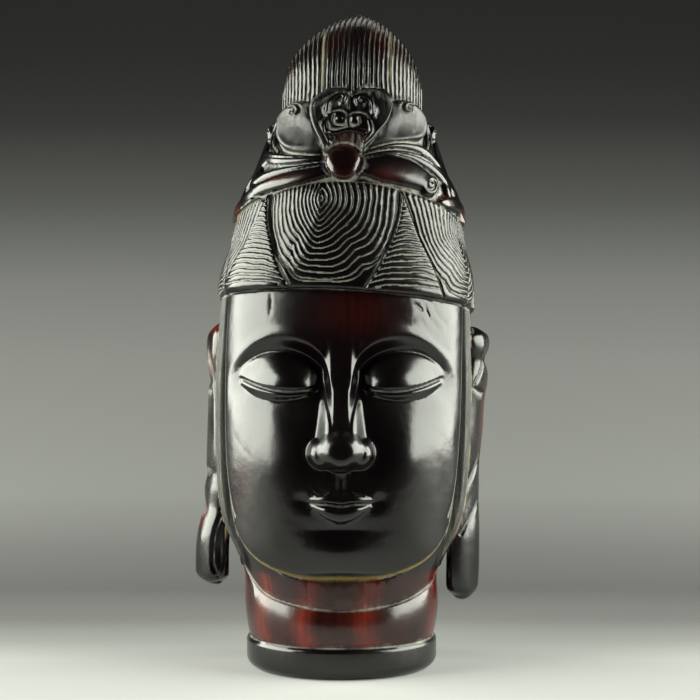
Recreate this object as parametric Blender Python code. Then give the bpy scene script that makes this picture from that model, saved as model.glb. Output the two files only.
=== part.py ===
"""Bodhisattva head carved from one piece of horn. It faces -Y and stands on the ring under its neck.

The carving is worked out on a net of columns round the head and rows up it. The net starts as a smooth body
of oval sections. The face, the hair, the crown and the neck are then raised on it or cut into it, the long
ears are joined on, and the whole is reduced to the facets that its form needs.
"""

import math

import bmesh
import bpy
import numpy as np

# Driving sizes in metres
HEIGHT = 0.260
BASE_HEIGHT = 0.012
BASE_HALF_WIDTH = 0.0379
BASE_HALF_DEPTH = 0.0362
BASE_FOOT_ROUND = 0.0045
BASE_TOP_ROUND = 0.0016
NECK_INSET = 0.0014

# The nets' resolution, and the number of triangles that the finished solid keeps
COLUMNS = 300
ROWS = 330
EAR_COLUMNS = 40
EAR_ROWS = 72
FACETS = 9300

# One unit of the figure is a millimetre at the nominal height. Levels are units above the base ring.
FIGURE_UNITS = 248.0
UNIT = (HEIGHT - BASE_HEIGHT) / FIGURE_UNITS
RING_HEIGHT = BASE_HEIGHT / UNIT
BELOW_TABLE = 1.0

# The face follows the usual canon of three equal parts, and the hair covers half of the first.
CHIN = 27.0
THIRD = 43.6
NOSE_BASE = CHIN + THIRD
BROW = CHIN + 2 * THIRD
HAIRLINE = BROW + THIRD / 2 + 1.0
EYE_LEVEL = BROW - 0.27 * THIRD
MOUTH = NOSE_BASE - THIRD / 3
MOUTH_HALF = 14.2
FACE_HALF_WIDTH = 50.0
FACE_DRUM = 46.0
FACE_REACH = math.radians(68)

# Hair, crown and topknot
HAIR_DRUM = 47.0
KNOT_FOOT = 208.0
KNOT_HEIGHT = FIGURE_UNITS - KNOT_FOOT
KNOT_DRUM = 30.5
NAPE = 22.0
NAPE_DRUM = 44.0
NAPE_HALF_WIDTH = 66.0
TEMPLE_FRONT = math.radians(69.5)
TEMPLE_BACK = math.radians(104)
WEDGE_ANGLES = (-44, 27, 99, 171, 243)
LOCK_EYES = (-14.6, 63, 135, 207, 279.5)
WEDGE_TOP = 174.0
WEDGE_SPREAD = math.radians(18.5)
LOCK_RINGS = 5
WEDGE_BARS = 6
TEMPLE_STRANDS = 4
NAPE_PITCH = 7.2
KNOT_PITCH = 5.8
JEWEL = (-2.6, 183.7)
JEWEL_RADII = (7.0, 7.1)

# Each ear's outer and inner edge as they show from the front, as levels and distances from the middle
RIGHT_EAR = (
    (12.7, 15, 22, 34, 65, 81, 96, 103, 109.5, 114, 119, 123),
    (50.0, 53.6, 55.6, 55.9, 56.0, 57.5, 58.6, 59.6, 57.7, 59.8, 60.3, 56.5),
    (12.7, 15, 22, 34, 50, 80, 123),
    (47.0, 43.6, 42.0, 42.4, 43.5, 46.5, 48.5),
)
LEFT_EAR = (
    (18.8, 21, 26, 34, 45, 50, 57, 64.5, 81, 98.5, 106, 113, 120, 124.6),
    (52.6, 57.8, 59.4, 59.2, 57.2, 55.0, 55.8, 54.4, 54.7, 53.9, 54.0, 54.8, 54.2, 51.5),
    (18.8, 21, 26, 34, 45, 60, 124.6),
    (48.2, 46.0, 45.2, 45.2, 44.6, 44.4, 44.0),
)
EAR_MIDDLE = 4.0

HORN_COLOUR = (0.018, 0.008, 0.007, 1.0)
HORN_ROUGHNESS = 0.18


def ease(low, high, x):
    """0 below low, 1 above high, and a smooth rise between them."""
    t = np.clip((x - low) / (high - low), 0, 1)
    return t * t * (3 - 2 * t)


def hill(x, z, centre, spread):
    """A smooth round rise of height 1 with the given spread along x and z."""
    return np.exp(-(((x - centre[0]) / spread[0]) ** 2) - ((z - centre[1]) / spread[1]) ** 2)


def blend(first, second, soft):
    """The higher of two forms, with the line where they meet rounded over soft units."""
    share = np.clip(0.5 + 0.5 * (first - second) / soft, 0, 1)
    return second + (first - second) * share + soft * share * (1 - share)


def smooth_curve(x, stations, values):
    """A monotone cubic through the stations, so that a profile has no overshoot."""
    stations, values = np.asarray(stations, float), np.asarray(values, float)
    step = np.diff(stations)
    slope = np.diff(values) / step
    tangent = np.concatenate([slope[:1], (slope[1:] + slope[:-1]) / 2, slope[-1:]])
    tangent[np.concatenate([[False], slope[1:] * slope[:-1] <= 0, [False]])] = 0
    before, after = np.concatenate([slope[:1], slope]), np.concatenate([slope, slope[-1:]])
    limit = 3 * np.minimum(np.abs(before), np.abs(after))
    tangent = np.clip(tangent, -limit, limit)
    i = np.clip(np.searchsorted(stations, x) - 1, 0, len(step) - 1)
    t = np.clip((x - stations[i]) / step[i], 0, 1)
    return (
        values[i] * (1 + 2 * t) * (1 - t) ** 2
        + values[i + 1] * t * t * (3 - 2 * t)
        + step[i] * tangent[i] * t * (1 - t) ** 2
        - step[i] * tangent[i + 1] * t * t * (1 - t)
    )


def spaced(start, end, count, spacing):
    """count + 1 places from start to end, set as far apart as the function spacing asks."""
    fine = np.linspace(start, end, 4001)
    steps = 1 / spacing((fine[1:] + fine[:-1]) / 2)
    reached = np.concatenate([[0], np.cumsum(steps)])
    return np.interp(np.linspace(0, reached[-1], count + 1), reached, fine)


def bezier(points, count=24):
    """Points along the smooth curve that the control points pull."""
    points = np.asarray(points, float)
    t = np.linspace(0, 1, count)[:, None]
    n = len(points) - 1
    return sum(math.comb(n, k) * t**k * (1 - t) ** (n - k) * points[k] for k in range(n + 1))


def closed_curve(points, count=72):
    """Points along a smooth closed curve that passes through the given ones."""
    points = np.asarray(points, float)
    points = np.concatenate([points[-2:], points, points[:3]])
    reached = np.concatenate([[0], np.cumsum(np.hypot(*np.diff(points, axis=0).T))])
    t = np.linspace(reached[2], reached[-3], count)
    return np.stack([smooth_curve(t, reached, points[:, k]) for k in range(2)], 1)


def spiral(centre, radius, turns, start, direction, count=40):
    """Points along a curl that closes in on its centre. start is its first angle in degrees."""
    t = np.linspace(0, 1, count)
    angle = math.radians(start) + direction * 2 * math.pi * turns * t
    reach = radius * (1 - 0.84 * t)
    return np.stack([centre[0] + reach * np.cos(angle), centre[1] + reach * np.sin(angle)], 1)


def along(x, z, curve):
    """Distance of each place from a curve, and the share of the curve passed there."""
    distance = np.full(x.shape, 1e9)
    passed = np.zeros(x.shape)
    for i, ((ax, az), (bx, bz)) in enumerate(zip(curve[:-1], curve[1:])):
        length = max(math.hypot(bx - ax, bz - az), 1e-6)
        t = np.clip(((x - ax) * (bx - ax) + (z - az) * (bz - az)) / length**2, 0, 1)
        d = np.hypot(x - ax - t * (bx - ax), z - az - t * (bz - az))
        nearer = d < distance
        distance = np.where(nearer, d, distance)
        passed = np.where(nearer, (i + t) / (len(curve) - 1), passed)
    return distance, passed


def depth_inside(x, z, outline):
    """Distance inside a smooth closed outline through the given points, or less than 0 outside it."""
    curve = closed_curve(outline)
    distance, _ = along(x, z, curve)
    inside = np.zeros(x.shape, bool)
    for (ax, az), (bx, bz) in zip(curve[:-1], curve[1:]):
        if az != bz:
            inside ^= ((az > z) != (bz > z)) & (x < ax + (z - az) * (bx - ax) / (bz - az))
    return np.where(inside, distance, -distance)


def cushion(share, fullness=4):
    """Height of a rounded form at a share of its half width: 1 in the middle, 0 at its edge."""
    return np.sqrt(np.clip(1 - np.abs(share) ** fullness, 0, 1))


def groove(distance, width):
    """A rounded cut of depth 1 along a line."""
    return np.exp(-((distance / width) ** 2))


def waves(phase):
    """Broad combed strands, one to a unit of phase, between -1 in the cuts and 1 on the backs."""
    return np.cos(2 * math.pi * phase)


def oval(angle, half_width, front, back, fullness):
    """Radius of an oval section at an angle from the front."""
    depth = np.where(np.cos(angle) > 0, front, back)
    across = np.abs(np.sin(angle)) / np.maximum(half_width, 1e-6)
    through = np.abs(np.cos(angle)) / np.maximum(depth, 1e-6)
    return (across**fullness + through**fullness) ** (-1 / fullness)


def knot_share(level):
    """Width of the topknot at a level, as a share of its width at the foot."""
    s = np.clip((level - KNOT_FOOT) / KNOT_HEIGHT, 0, 1)
    return (1 - s**2.8) ** 0.8


def drift(level):
    """The horn's slight lean to one side."""
    levels = (0, 60, 100, 134, 168, 190, 216, 230, 241, 248)
    return smooth_curve(level, levels, (0, 0.3, 0.8, 1.7, 3.2, 3.8, 4.4, 4.6, 5.7, 7.4))


def body_radius(angle, level):
    """Neck, skull, crown and topknot as one smooth turned form."""
    foot_width = (BASE_HALF_WIDTH - NECK_INSET) / UNIT
    foot_depth = (BASE_HALF_DEPTH - NECK_INSET) / UNIT
    levels = (0, 12, 24, 36, 50, 73, 103, 130, 171, 188, 202, KNOT_FOOT, 213)
    widths = (foot_width, 37.0, 37.8, 42.0, 45.6, 47.2, 47.8, 46.9, 41.6, 33.8, 29.2, 28.4, 28.1)
    fronts = (foot_depth, 35.4, 36.2, 37.5, 40.0, 42.5, 43.0, 43.0, 39.5, 33.2, 28.4, 26.6, 25.4)
    backs = (foot_depth, 36.6, 38.6, 41.5, 44.5, 47.0, 48.0, 47.0, 40.5, 33.6, 28.8, 26.8, 25.6)
    shrink = knot_share(level)
    return oval(
        angle,
        smooth_curve(level, levels, widths) * shrink,
        smooth_curve(level, levels, fronts) * shrink,
        smooth_curve(level, levels, backs) * shrink,
        2.15,
    )


def ring_radius(angle, level):
    """The base ring, rounded under its foot and more tightly along its top."""
    above, below = level + RING_HEIGHT, -level
    foot, top = BASE_FOOT_ROUND / UNIT, BASE_TOP_ROUND / UNIT
    inset = foot * (1 - np.sqrt(1 - np.clip(1 - above / foot, 0, 1) ** 2))
    inset += top * (1 - np.sqrt(1 - np.clip(1 - below / top, 0, 1) ** 2))
    half_width, half_depth = BASE_HALF_WIDTH / UNIT, BASE_HALF_DEPTH / UNIT
    return oval(angle, half_width, half_depth, half_depth, 2.1) - inset


def mask_radius(angle, level):
    """The face's own smooth surface, before its features."""
    levels = (27, 40, 58, 80, 103, 122, 140)
    widths = np.array((0.93, 0.965, 0.99, 1.0, 1.005, 1.0, 0.99)) * FACE_HALF_WIDTH
    fronts = (43.5, 46.0, 46.4, 46.2, 45.2, 45.0, 44.2)
    half_width, front = smooth_curve(level, levels, widths), smooth_curve(level, levels, fronts)
    return oval(angle, half_width, front, FACE_HALF_WIDTH, 2.3)


def inside_mask(angle, level):
    """Units inside the face's edge, which runs down beside each ear and round under the chin."""
    half = FACE_REACH * FACE_DRUM
    tall = HAIRLINE - CHIN
    x = np.abs(angle) * FACE_DRUM / half
    z = np.clip(HAIRLINE - level, 0, None) / tall
    reach = (x**4 + z**4) ** 0.25
    return (1 - reach) * np.where(x > z, half, tall)


def temple_form(angle, level):
    """The strip of hair between the face's edge and the ear."""
    across = (np.abs(angle) - TEMPLE_FRONT) / (TEMPLE_BACK - TEMPLE_FRONT)
    strip = ease(-0.02, 0.05, across) * (1 - ease(0.85, 1.0, across)) * ease(24, 44, level)
    full = smooth_curve(level, (30, 50, 73, 103, 118, 140), (1.2, 2.8, 3.4, 3.2, 2.8, 3.2))
    return strip * (full - 0.2 + 0.3 * waves(across * TEMPLE_STRANDS))


def hairline(angle):
    """Level of the hair's lower edge, lower at the sides and a little more on the right."""
    return HAIRLINE - 5.5 * (1 - np.cos(angle)) - 2.5 * np.sin(angle)


def crown_foot(angle):
    """Level of the crown's lower edge, which sweeps down from the jewel to the sides."""
    stations = (0, 15, 26, 36, 48, 62, 75, 95, 180)
    levels = (175.3, 174.8, 173.6, 172.2, 169.4, 166.0, 162.8, 161.0, 161.0)
    return smooth_curve(np.abs(np.degrees(angle)), stations, levels) - 1.3 * np.sin(angle)


def turned(angle, centre):
    """Angle from a centre in degrees, the short way round, in radians."""
    return (angle - math.radians(centre) + math.pi) % (2 * math.pi) - math.pi


def wedge_half(level, foot, beside_front):
    """Half the angle that a wedge of hair spans at a level. Its sides bulge beside the front lock."""
    fall = np.clip((WEDGE_TOP - level) / (WEDGE_TOP - foot), 0, 1.2)
    return WEDGE_SPREAD * fall ** (1.7 if beside_front else 1.1)


def hair_form(angle, level):
    """Height of the combed hair over the forehead: ringed locks with barred wedges between them."""
    foot = hairline(angle)
    form = np.zeros(angle.shape)
    in_lock = np.zeros(angle.shape, bool)
    for i, eye_angle in enumerate(LOCK_EYES):
        left = turned(math.radians(WEDGE_ANGLES[i]), eye_angle)
        right = turned(math.radians(WEDGE_ANGLES[(i + 1) % 5]), eye_angle)
        turn = turned(angle, eye_angle)
        room = np.where(turn < 0, -left, right) - wedge_half(level, foot, i == 0)
        side = np.abs(turn) / np.maximum(room, 1e-3)
        eye_level = crown_foot(np.array(math.radians(eye_angle))) - 5.5
        fall = np.clip((eye_level - level) / (eye_level - foot - 1.6), 0, 1.5)
        above = np.clip((level - eye_level) / 7.0, 0, 1) * 0.2
        blunt = 1.5 + 4.5 * np.clip(np.maximum(side, fall), 0, 1) ** 1.6
        reach = (side**blunt + np.maximum(fall, above) ** blunt) ** (1 / blunt)
        inside = (reach < 1.0) & (room > 0)
        pillow = 0.6 + 1.3 * np.clip(1 - reach**3, 0, 1)
        rings = 0.3 * waves(reach * LOCK_RINGS) * ease(0, 0.08, 1 - reach)
        form = np.where(inside, pillow + rings, form)
        in_lock |= inside
    for i, centre in enumerate(WEDGE_ANGLES):
        turn = turned(angle, centre)
        half = np.where(
            turn < 0, wedge_half(level, foot, (i - 1) % 5 == 0), wedge_half(level, foot, i == 0)
        )
        edge = (half - np.abs(turn)) * HAIR_DRUM
        rise = np.clip((level - foot) / (WEDGE_TOP - foot), 0, 1)
        wedge = 0.7 + 0.3 * waves(rise * WEDGE_BARS) * ease(0.2, 1.6, edge)
        form = np.where(in_lock | (edge <= 0), form, wedge)
        form -= 0.8 * groove(edge, 0.7) * (level < WEDGE_TOP) * (level > foot + 0.6)
    return form


def nape_form(angle, level):
    """Hair combed straight down behind the ears to the nape, in strands."""
    s = (math.pi - np.abs(angle)) * NAPE_DRUM
    foot = NAPE + 4.0 * (s / 60) ** 2
    lift = ease(-0.8, 0.8, level - foot) * ease(-0.8, 0.8, NAPE_HALF_WIDTH - s)
    lift *= ease(-1.5, 1.5, hairline(angle) - level)
    return lift * (1.4 + 0.4 * waves(s / NAPE_PITCH)) * (np.abs(angle) > TEMPLE_BACK - 0.1)


def neck_crease(angle):
    """Level of the fold round the neck, which climbs towards the nape, more steeply on the left."""
    stations = (-180, -110, -80, -54, -28, 0, 38, 66, 110, 180)
    levels = (26, 30.5, 28.6, 19.9, 16.2, 14.5, 17.0, 21.5, 26.5, 26)
    return smooth_curve(np.degrees(angle), stations, levels)


def neck_form(angle, level):
    """A soft swell round the neck under its one fold."""
    crease = neck_crease(angle)
    form = -0.8 * groove(level - crease, 0.9)
    form += 1.5 * np.clip(np.sin(math.pi * np.clip(level / crease, 0, 1)), 0, 1) ** 0.8
    return form * ease(0, 2, level) * (level < CHIN + 12)


def knot_form(x, level):
    """Strands combed straight up over the topknot, front to back."""
    out = np.arcsin(np.clip(x / KNOT_DRUM, -1, 1)) * KNOT_DRUM
    top = 1 - ease(0.955, 0.995, (level - KNOT_FOOT) / KNOT_HEIGHT)
    return (0.4 * waves(out / KNOT_PITCH) - 0.1) * top


def drum(level):
    """Radius on which distances round the crown are counted at a level."""
    return np.interp(level, (160, 171, 188, 202, 208, 214), (44.5, 40.6, 33.5, 28.8, 27.5, 27.0))


def leaf(s, z, points, widths, height):
    """A raised leaf along a curve. widths are its half widths, evenly spaced from root to tip."""
    distance, passed = along(s, z, bezier(points))
    half = np.interp(passed, np.linspace(0, 1, len(widths)), widths)
    share = np.clip(distance / half, 0, 1)
    return height * (0.6 * cushion(share) + 0.4 * cushion(share, 2))


def petal(s, z, outline, hook, start, direction):
    """A broad petal with a soft rim, hollowed a little, whose tip curls into a hook at its upper end."""
    inside = depth_inside(s, z, outline)
    body = 4.3 * (0.74 * cushion(1 - np.clip(inside / 2.0, 0, 1), 2) + 0.26 * ease(0, 3, inside))
    bowl = np.hypot((s - hook[0]) / 9.0, (z - hook[1] + 9.5) / 9.0)
    body -= 1.5 * (1 - ease(0.35, 1.0, bowl)) * ease(1.0, 3.2, inside)
    line, _ = along(s, z, spiral(hook, 3.6, 0.9, start, direction))
    return np.where(inside > 0, np.maximum(body - 0.9 * groove(line, 0.8), 0.01), 0)


def curl(s, z, centre, radius, height, direction, start):
    """A round leaf end with a spiral cut into it."""
    disc = np.hypot(s - centre[0], z - centre[1])
    share = np.clip(disc / radius, 0, 1)
    line, _ = along(s, z, spiral(centre, radius * 0.74, 1.15, start, direction))
    return height * (0.6 * cushion(share) + 0.4 * cushion(share, 2)) - groove(line, 0.75) * (disc < radius)


def heart(s, z):
    """The heart-shaped cloud plate over the jewel: a rim round a sunk field with four buds and two ridges."""
    outline = (
        (-0.2, 211.9), (-3.0, 213.3), (-6.6, 213.4), (-11.1, 211.8), (-14.4, 209.0), (-15.4, 205.4),
        (-14.9, 201.2), (-13.9, 197.5), (-12.3, 193.8), (-10.8, 190.4), (-9.0, 186.5), (3.4, 186.5), (5.5, 189.2),
        (7.6, 191.6), (9.7, 194.8), (12.3, 198.6), (14.1, 203.3), (14.7, 207.4), (13.7, 211.0), (10.9, 213.4),
        (7.1, 214.1), (3.0, 213.4),
    )
    inside = depth_inside(s, z, outline)
    field = ease(1.4, 2.6, inside)
    plate = 4.9 * cushion(1 - np.clip(inside / 1.2, 0, 1), 2) - 1.7 * field
    carving = np.zeros(s.shape)
    for bud in ((-5.6, 206.6), (4.2, 206.6), (-5.0, 200.0), (2.6, 200.0)):
        carving = np.maximum(carving, 1.3 * hill(s, z, bud, (3.4, 3.0)))
    for points in (
        ((-9.4, 202.6), (-11.4, 199.6), (-11.2, 195.6), (-9.0, 191.6)),
        ((6.9, 202.5), (8.8, 199.0), (8.3, 195.0), (5.6, 190.6)),
    ):
        distance, _ = along(s, z, bezier(points))
        carving = np.maximum(carving, 1.5 * cushion(np.clip(distance / 1.4, 0, 1), 2.5))
    return np.where(inside > 0, plate + carving * field, 0)


def left_leaves(s, z):
    """The leaves and the petal to the left of the jewel."""
    yield leaf(s, z, ((-30, 189), (-36, 193), (-37.5, 198), (-33, 203.5)), (2.2, 3.4, 3.2, 0.5), 3.0)
    yield leaf(s, z, ((-9, 185.4), (-20, 185.0), (-30, 186.0), (-39, 188.6)), (0.8, 2.1, 3.0, 3.2), 3.1)
    yield leaf(s, z, ((-34, 188), (-40, 187), (-46, 184), (-52, 177)), (2.4, 3.2, 3.0, 1.4), 3.0)
    yield leaf(s, z, ((-9, 183.0), (-20, 181.2), (-32, 181.2), (-44, 177.2)), (0.6, 1.3, 2.0, 2.2), 3.5)
    yield leaf(s, z, ((-9, 180.4), (-20, 177.0), (-31, 177.2), (-40, 173.6)), (2.6, 3.4, 3.2, 2.6), 3.9)
    yield leaf(s, z, ((-34, 176), (-42, 174.4), (-49, 169.6), (-55, 163.6)), (2.0, 3.4, 3.8, 2.6), 3.8)
    outline = (
        (-9.5, 188.4), (-14.8, 186.9), (-22.1, 188.0), (-27.4, 190.6), (-31.1, 196.6), (-31.0, 202.3),
        (-27.6, 207.2), (-21.4, 209.9), (-15.6, 208.6), (-11.5, 203.5), (-9.5, 196.0),
    )
    yield petal(s, z, outline, (-21.4, 204.4), 140, -1)


def right_leaves(s, z):
    """The leaves, the curls and the petal to the right of the jewel."""
    yield leaf(s, z, ((30, 188), (35, 192.5), (36.5, 198), (32, 203.5)), (2.2, 3.4, 3.2, 0.5), 3.0)
    yield leaf(s, z, ((5, 187.4), (16, 192), (27, 193.2), (40, 184.6)), (0.5, 1.2, 1.9, 2.0), 3.1)
    yield leaf(s, z, ((5, 185.8), (17, 189.4), (29, 187.6), (42, 178.4)), (0.6, 1.6, 2.5, 2.4), 3.5)
    yield leaf(s, z, ((36, 183), (45, 180), (52, 173), (57, 164.5)), (1.8, 3.4, 4.0, 2.6), 3.4)
    yield leaf(s, z, ((4.0, 181.6), (12, 182.2), (21, 181.4), (29, 177.0)), (3.4, 6.0, 6.0, 4.4), 4.3)
    yield curl(s, z, (31.0, 175.6), 4.9, 4.6, 1, 75)
    yield curl(s, z, (57.6, 163.6), 3.6, 3.6, 1, 75)
    outline = (
        (4.6, 188.2), (12.7, 190.8), (20.7, 192.2), (28.8, 194.2), (31.4, 199.0), (30.2, 204.2),
        (26.2, 208.4), (20.1, 210.3), (14.2, 208.6), (10.5, 203.0), (7.0, 195.0),
    )
    yield petal(s, z, outline, (20.8, 205.6), 40, 1)


def back_leaves(s, z, angle):
    """Three plainer curled leaves to a side round the back, and two leaves in its middle."""
    for side in (-1, 1):
        x = s * side
        for turn in (78, 112, 146):
            root = math.radians(turn) * 38.0
            outer = ((root - 9, 172), (root - 10, 182), (root - 4, 192), (root - 8, 201))
            inner = ((root, 168), (root + 6, 174), (root + 7, 183), (root + 3, 193))
            foot = ((root - 14, 169), (root - 4, 171), (root + 6, 169), (root + 16, 165))
            yield leaf(x, z, outer, (2.4, 5.4, 5.6, 3.6), 3.4)
            yield curl(x, z, (root - 9.4, 199.4), 4.6, 4.2, -1, 120)
            yield leaf(x, z, inner, (3, 4.4, 4.4, 0.8), 3.0)
            yield leaf(x, z, foot, (2.6, 3.4, 3.4, 2.6), 3.8)
    back = (math.pi - np.abs(angle)) * drum(z)
    yield leaf(back, z, ((0, 164), (0, 180), (0, 194), (0, 208)), (5, 8.4, 7.4, 0.8), 4.0)
    yield leaf(back, z, ((5, 166), (12, 174), (13, 184), (8, 194)), (3, 4.6, 4.4, 1), 3.2)


def crown_form(angle, level):
    """Jewel, cloud plate and layered leaves in front, and plainer leaves behind."""
    s = angle * drum(level)
    form = 1.6 * (1 - ease(196, 207, level))
    for leaves in (left_leaves(s, level), right_leaves(s, level), back_leaves(s, level, angle)):
        for part in leaves:
            form = np.maximum(form, part)
    plate = heart(s, level)
    form = np.where(plate > 0, plate, form)
    jewel = np.hypot((s - JEWEL[0]) / JEWEL_RADII[0], (level - JEWEL[1]) / JEWEL_RADII[1])
    form = np.where(jewel < 1.1, np.minimum(form, 2.6), form)
    return np.maximum(form, 5.0 * cushion(np.clip(jewel, 0, 1), 3.4))


def brows_and_eyes(x, z):
    """Arched brows, hollow sockets, full lids and the lowered gaze. x counts from the nose outwards."""
    arch = smooth_curve(
        x, (3.6, 6, 10, 16, 23, 31, 38, 44), np.array((-12, -4, 0.5, 3.6, 4.6, 2.6, -2.2, -8.5)) + BROW
    )
    below = arch - z
    fade_out = 1 - ease(33, 46, x)
    socket = ease(0, 5.5, below) * (1 - ease(8, 20, below)) * fade_out * ease(2.5, 6, x)
    form = -(4.6 - 1.6 * ease(8, 26, x)) * socket
    form += 0.9 * groove(below + 1.2, 2.4) * fade_out * ease(4, 10, x)
    lid_x, lid_z = (x - 23.5) / 15.5, (z - EYE_LEVEL - 1.2) / 9.2
    form += 4.8 * np.clip(1 - lid_x**2 - lid_z**2, 0, 1) ** 0.75
    share = np.clip((x - 9.5) / 28.5, 0, 1)
    slit = EYE_LEVEL - 3.4 - 2.0 * np.sin(math.pi * share) + 3.6 * share**1.5
    ends = ease(7.5, 10.5, x) * (1 - ease(37, 40, x))
    form -= 1.5 * groove(z - slit, 0.75) * ends
    form += 0.5 * groove(z - slit + 1.9, 0.9) * ends
    form -= 0.9 * groove(z - slit + 3.6, 0.8) * ends * ease(11, 16, x)
    crease = arch - 7.2 + 2.2 * ease(12, 34, x)
    form -= 0.7 * groove(z - crease, 0.7) * ease(8, 12, x) * (1 - ease(34, 39, x))
    return form


def nose(x, z):
    """A straight bridge with a flat back, a round tip and full wings, run softly into each other."""
    run = np.clip((BROW + 2 - z) / (BROW + 2 - NOSE_BASE), 0, 1)
    back = 3.4 + 1.5 * run**2
    flank = 3.0 + 3.6 * run
    above_base = z - NOSE_BASE
    form = (1.2 + 9.6 * run**1.25) * (1 - ease(0, 1, (x - back) / flank))
    form *= ease(0, 4.6, above_base) * ease(0, 16, BROW + 9 - z)
    tip = 12.6 - 3.4 * ((x / 7.0) ** 2 + ((above_base - 6.0) / 6.2) ** 2) ** 2
    wing = 7.8 - 3.8 * (((x - 6.9) / 4.8) ** 2 + ((above_base - 4.6) / 5.0) ** 2) ** 2
    form = blend(blend(form, tip, 3.6), wing, 3.6)
    form = blend(form, np.zeros(form.shape), 1.0)
    return form - 0.9 * groove(np.hypot((x - 3.8) * 0.8, above_base - 0.2), 1.5)


def mouth(x, z):
    """Small full lips with a cupid's bow and tucked corners."""
    share = np.clip(x / MOUTH_HALF, 0, 1)
    line = MOUTH + 1.2 * share**2 - 0.5 * np.exp(-((x / 2.6) ** 2))
    bow = 4.9 * (1 - share**1.6) - 0.9 * np.exp(-((x / 2.2) ** 2)) + 0.15
    upper = np.clip(1 - ((z - line) / bow - 0.42) ** 2 / 0.42, 0, 1) ** 0.5 * (z > line)
    full = 6.0 * (1 - np.clip(x / 11.8, 0, 1) ** 2.2) + 0.2
    lower = np.clip(1 - ((line - z) / full - 0.45) ** 2 / 0.36, 0, 1) ** 0.5 * (z <= line)
    form = (2.3 * upper + 2.9 * lower * (1 - ease(9.5, 12.5, x))) * (1 - ease(12.4, 15.0, x))
    form -= 1.6 * groove(z - line, 0.75) * (1 - ease(13.2, 16.0, x))
    form -= 1.3 * groove(np.hypot(x - 15.2, z - line), 2.2)
    form -= 0.9 * groove(x, 1.7) * ease(MOUTH + 4.5, MOUTH + 6.5, z) * (1 - ease(NOSE_BASE - 3, NOSE_BASE, z))
    return form


def face_form(x, z):
    """Everything on the face, as a height towards the front."""
    out = np.abs(x)
    form = 2.6 * hill(x, z, (0, MOUTH + 1), (19, 13))
    form += 2.8 * hill(out, z, (25, NOSE_BASE + 3), (15, 17))
    form += 2.4 * hill(x, z, (0, CHIN + 10), (11.5, 8.0))
    form -= 1.1 * hill(x, z, (0, CHIN + 19.5), (10, 2.6))
    return form + brows_and_eyes(out, z) + nose(out, z) + mouth(out, z)


def outward(points):
    """Unit vectors square to a net of points, pointing out of it."""
    across = np.roll(points, -1, 1) - np.roll(points, 1, 1)
    square = np.cross(across, np.gradient(points, axis=0))
    return square / np.maximum(np.linalg.norm(square, axis=2, keepdims=True), 1e-12)


def smooth_radius(angle, level, face_share, edge, rim):
    """Radius of the figure before the hair, the crown and the features are raised on it."""
    turn = np.abs(angle)
    body = body_radius(angle, level) + neck_form(angle, level)
    body += temple_form(angle, level) * (1 - rim)
    over_ears = ease(math.radians(60), math.radians(76), turn) * (1 - ease(math.radians(115), math.radians(150), turn))
    body += 3.0 * rim * over_ears * (1 - ease(HAIRLINE + 2, HAIRLINE + 20, level))
    radius = body + (mask_radius(angle, level) - body) * face_share
    beside = ease(CHIN - 3, CHIN, level) * (1 - ease(HAIRLINE - 6, HAIRLINE - 2, level))
    radius -= 0.9 * groove(edge + 0.8, 1.0) * beside
    return np.where(level <= 0, ring_radius(angle, level), radius)


def figure(angle, level):
    """Where the carved surface lies for each column angle and row level, in units."""
    edge = inside_mask(angle, level)
    face_share = np.sqrt(1 - (1 - np.clip(edge / 5.0, 0, 1)) ** 2)
    face_share *= 1 - ease(HAIRLINE + 2, HAIRLINE + 20, level)
    rim = ease(-0.9, 0.9, level - hairline(angle))
    under_crown = ease(-1.2, 1.2, crown_foot(angle) - level)
    radius = smooth_radius(angle, level, face_share, edge, rim) + 0.9 * rim * under_crown
    net = np.stack([drift(level) + radius * np.sin(angle), -radius * np.cos(angle), level], 2)
    crown = crown_form(angle, level) * (1 - under_crown)
    bare = (1 - under_crown) * ease(-0.5, 0.5, 0.4 - crown) * ease(-1, 1, level - 203)
    form = hair_form(angle, level) * rim * under_crown + crown + nape_form(angle, level)
    form += knot_form(net[:, :, 0] - drift(level), level) * bare
    net += outward(net) * form[:, :, None]
    in_front = np.clip(np.cos(angle), 0, 1) ** 0.5 * face_share * (1 - rim)
    net[:, :, 1] -= face_form(net[:, :, 0], level) * in_front * ease(0, 6, edge)
    return net


def head_net():
    """The net of the head, closer where the carving is fine."""
    def row_gap(level):
        carved = 0.55 + 0.5 * (level < HAIRLINE - 8) + 0.35 * (level < CHIN - 2)
        return np.where(level > KNOT_FOOT + 20, 0.12 + 0.6 * knot_share(level), carved)

    def column_gap(angle):
        return 1 + 0.9 * ease(1.7, 2.4, np.abs(angle))

    foot = -RING_HEIGHT - BELOW_TABLE
    levels = spaced(foot, FIGURE_UNITS, ROWS - 1, row_gap)
    angles = spaced(-math.pi, math.pi, COLUMNS, column_gap)[:-1]
    angle, level = np.meshgrid(angles, levels)
    net = figure(angle, level)
    net[-1] = net[-1].mean(0)
    foot_centre = np.zeros(net[:1].shape) + (0, 0, foot)
    return np.concatenate([foot_centre, net])


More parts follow.
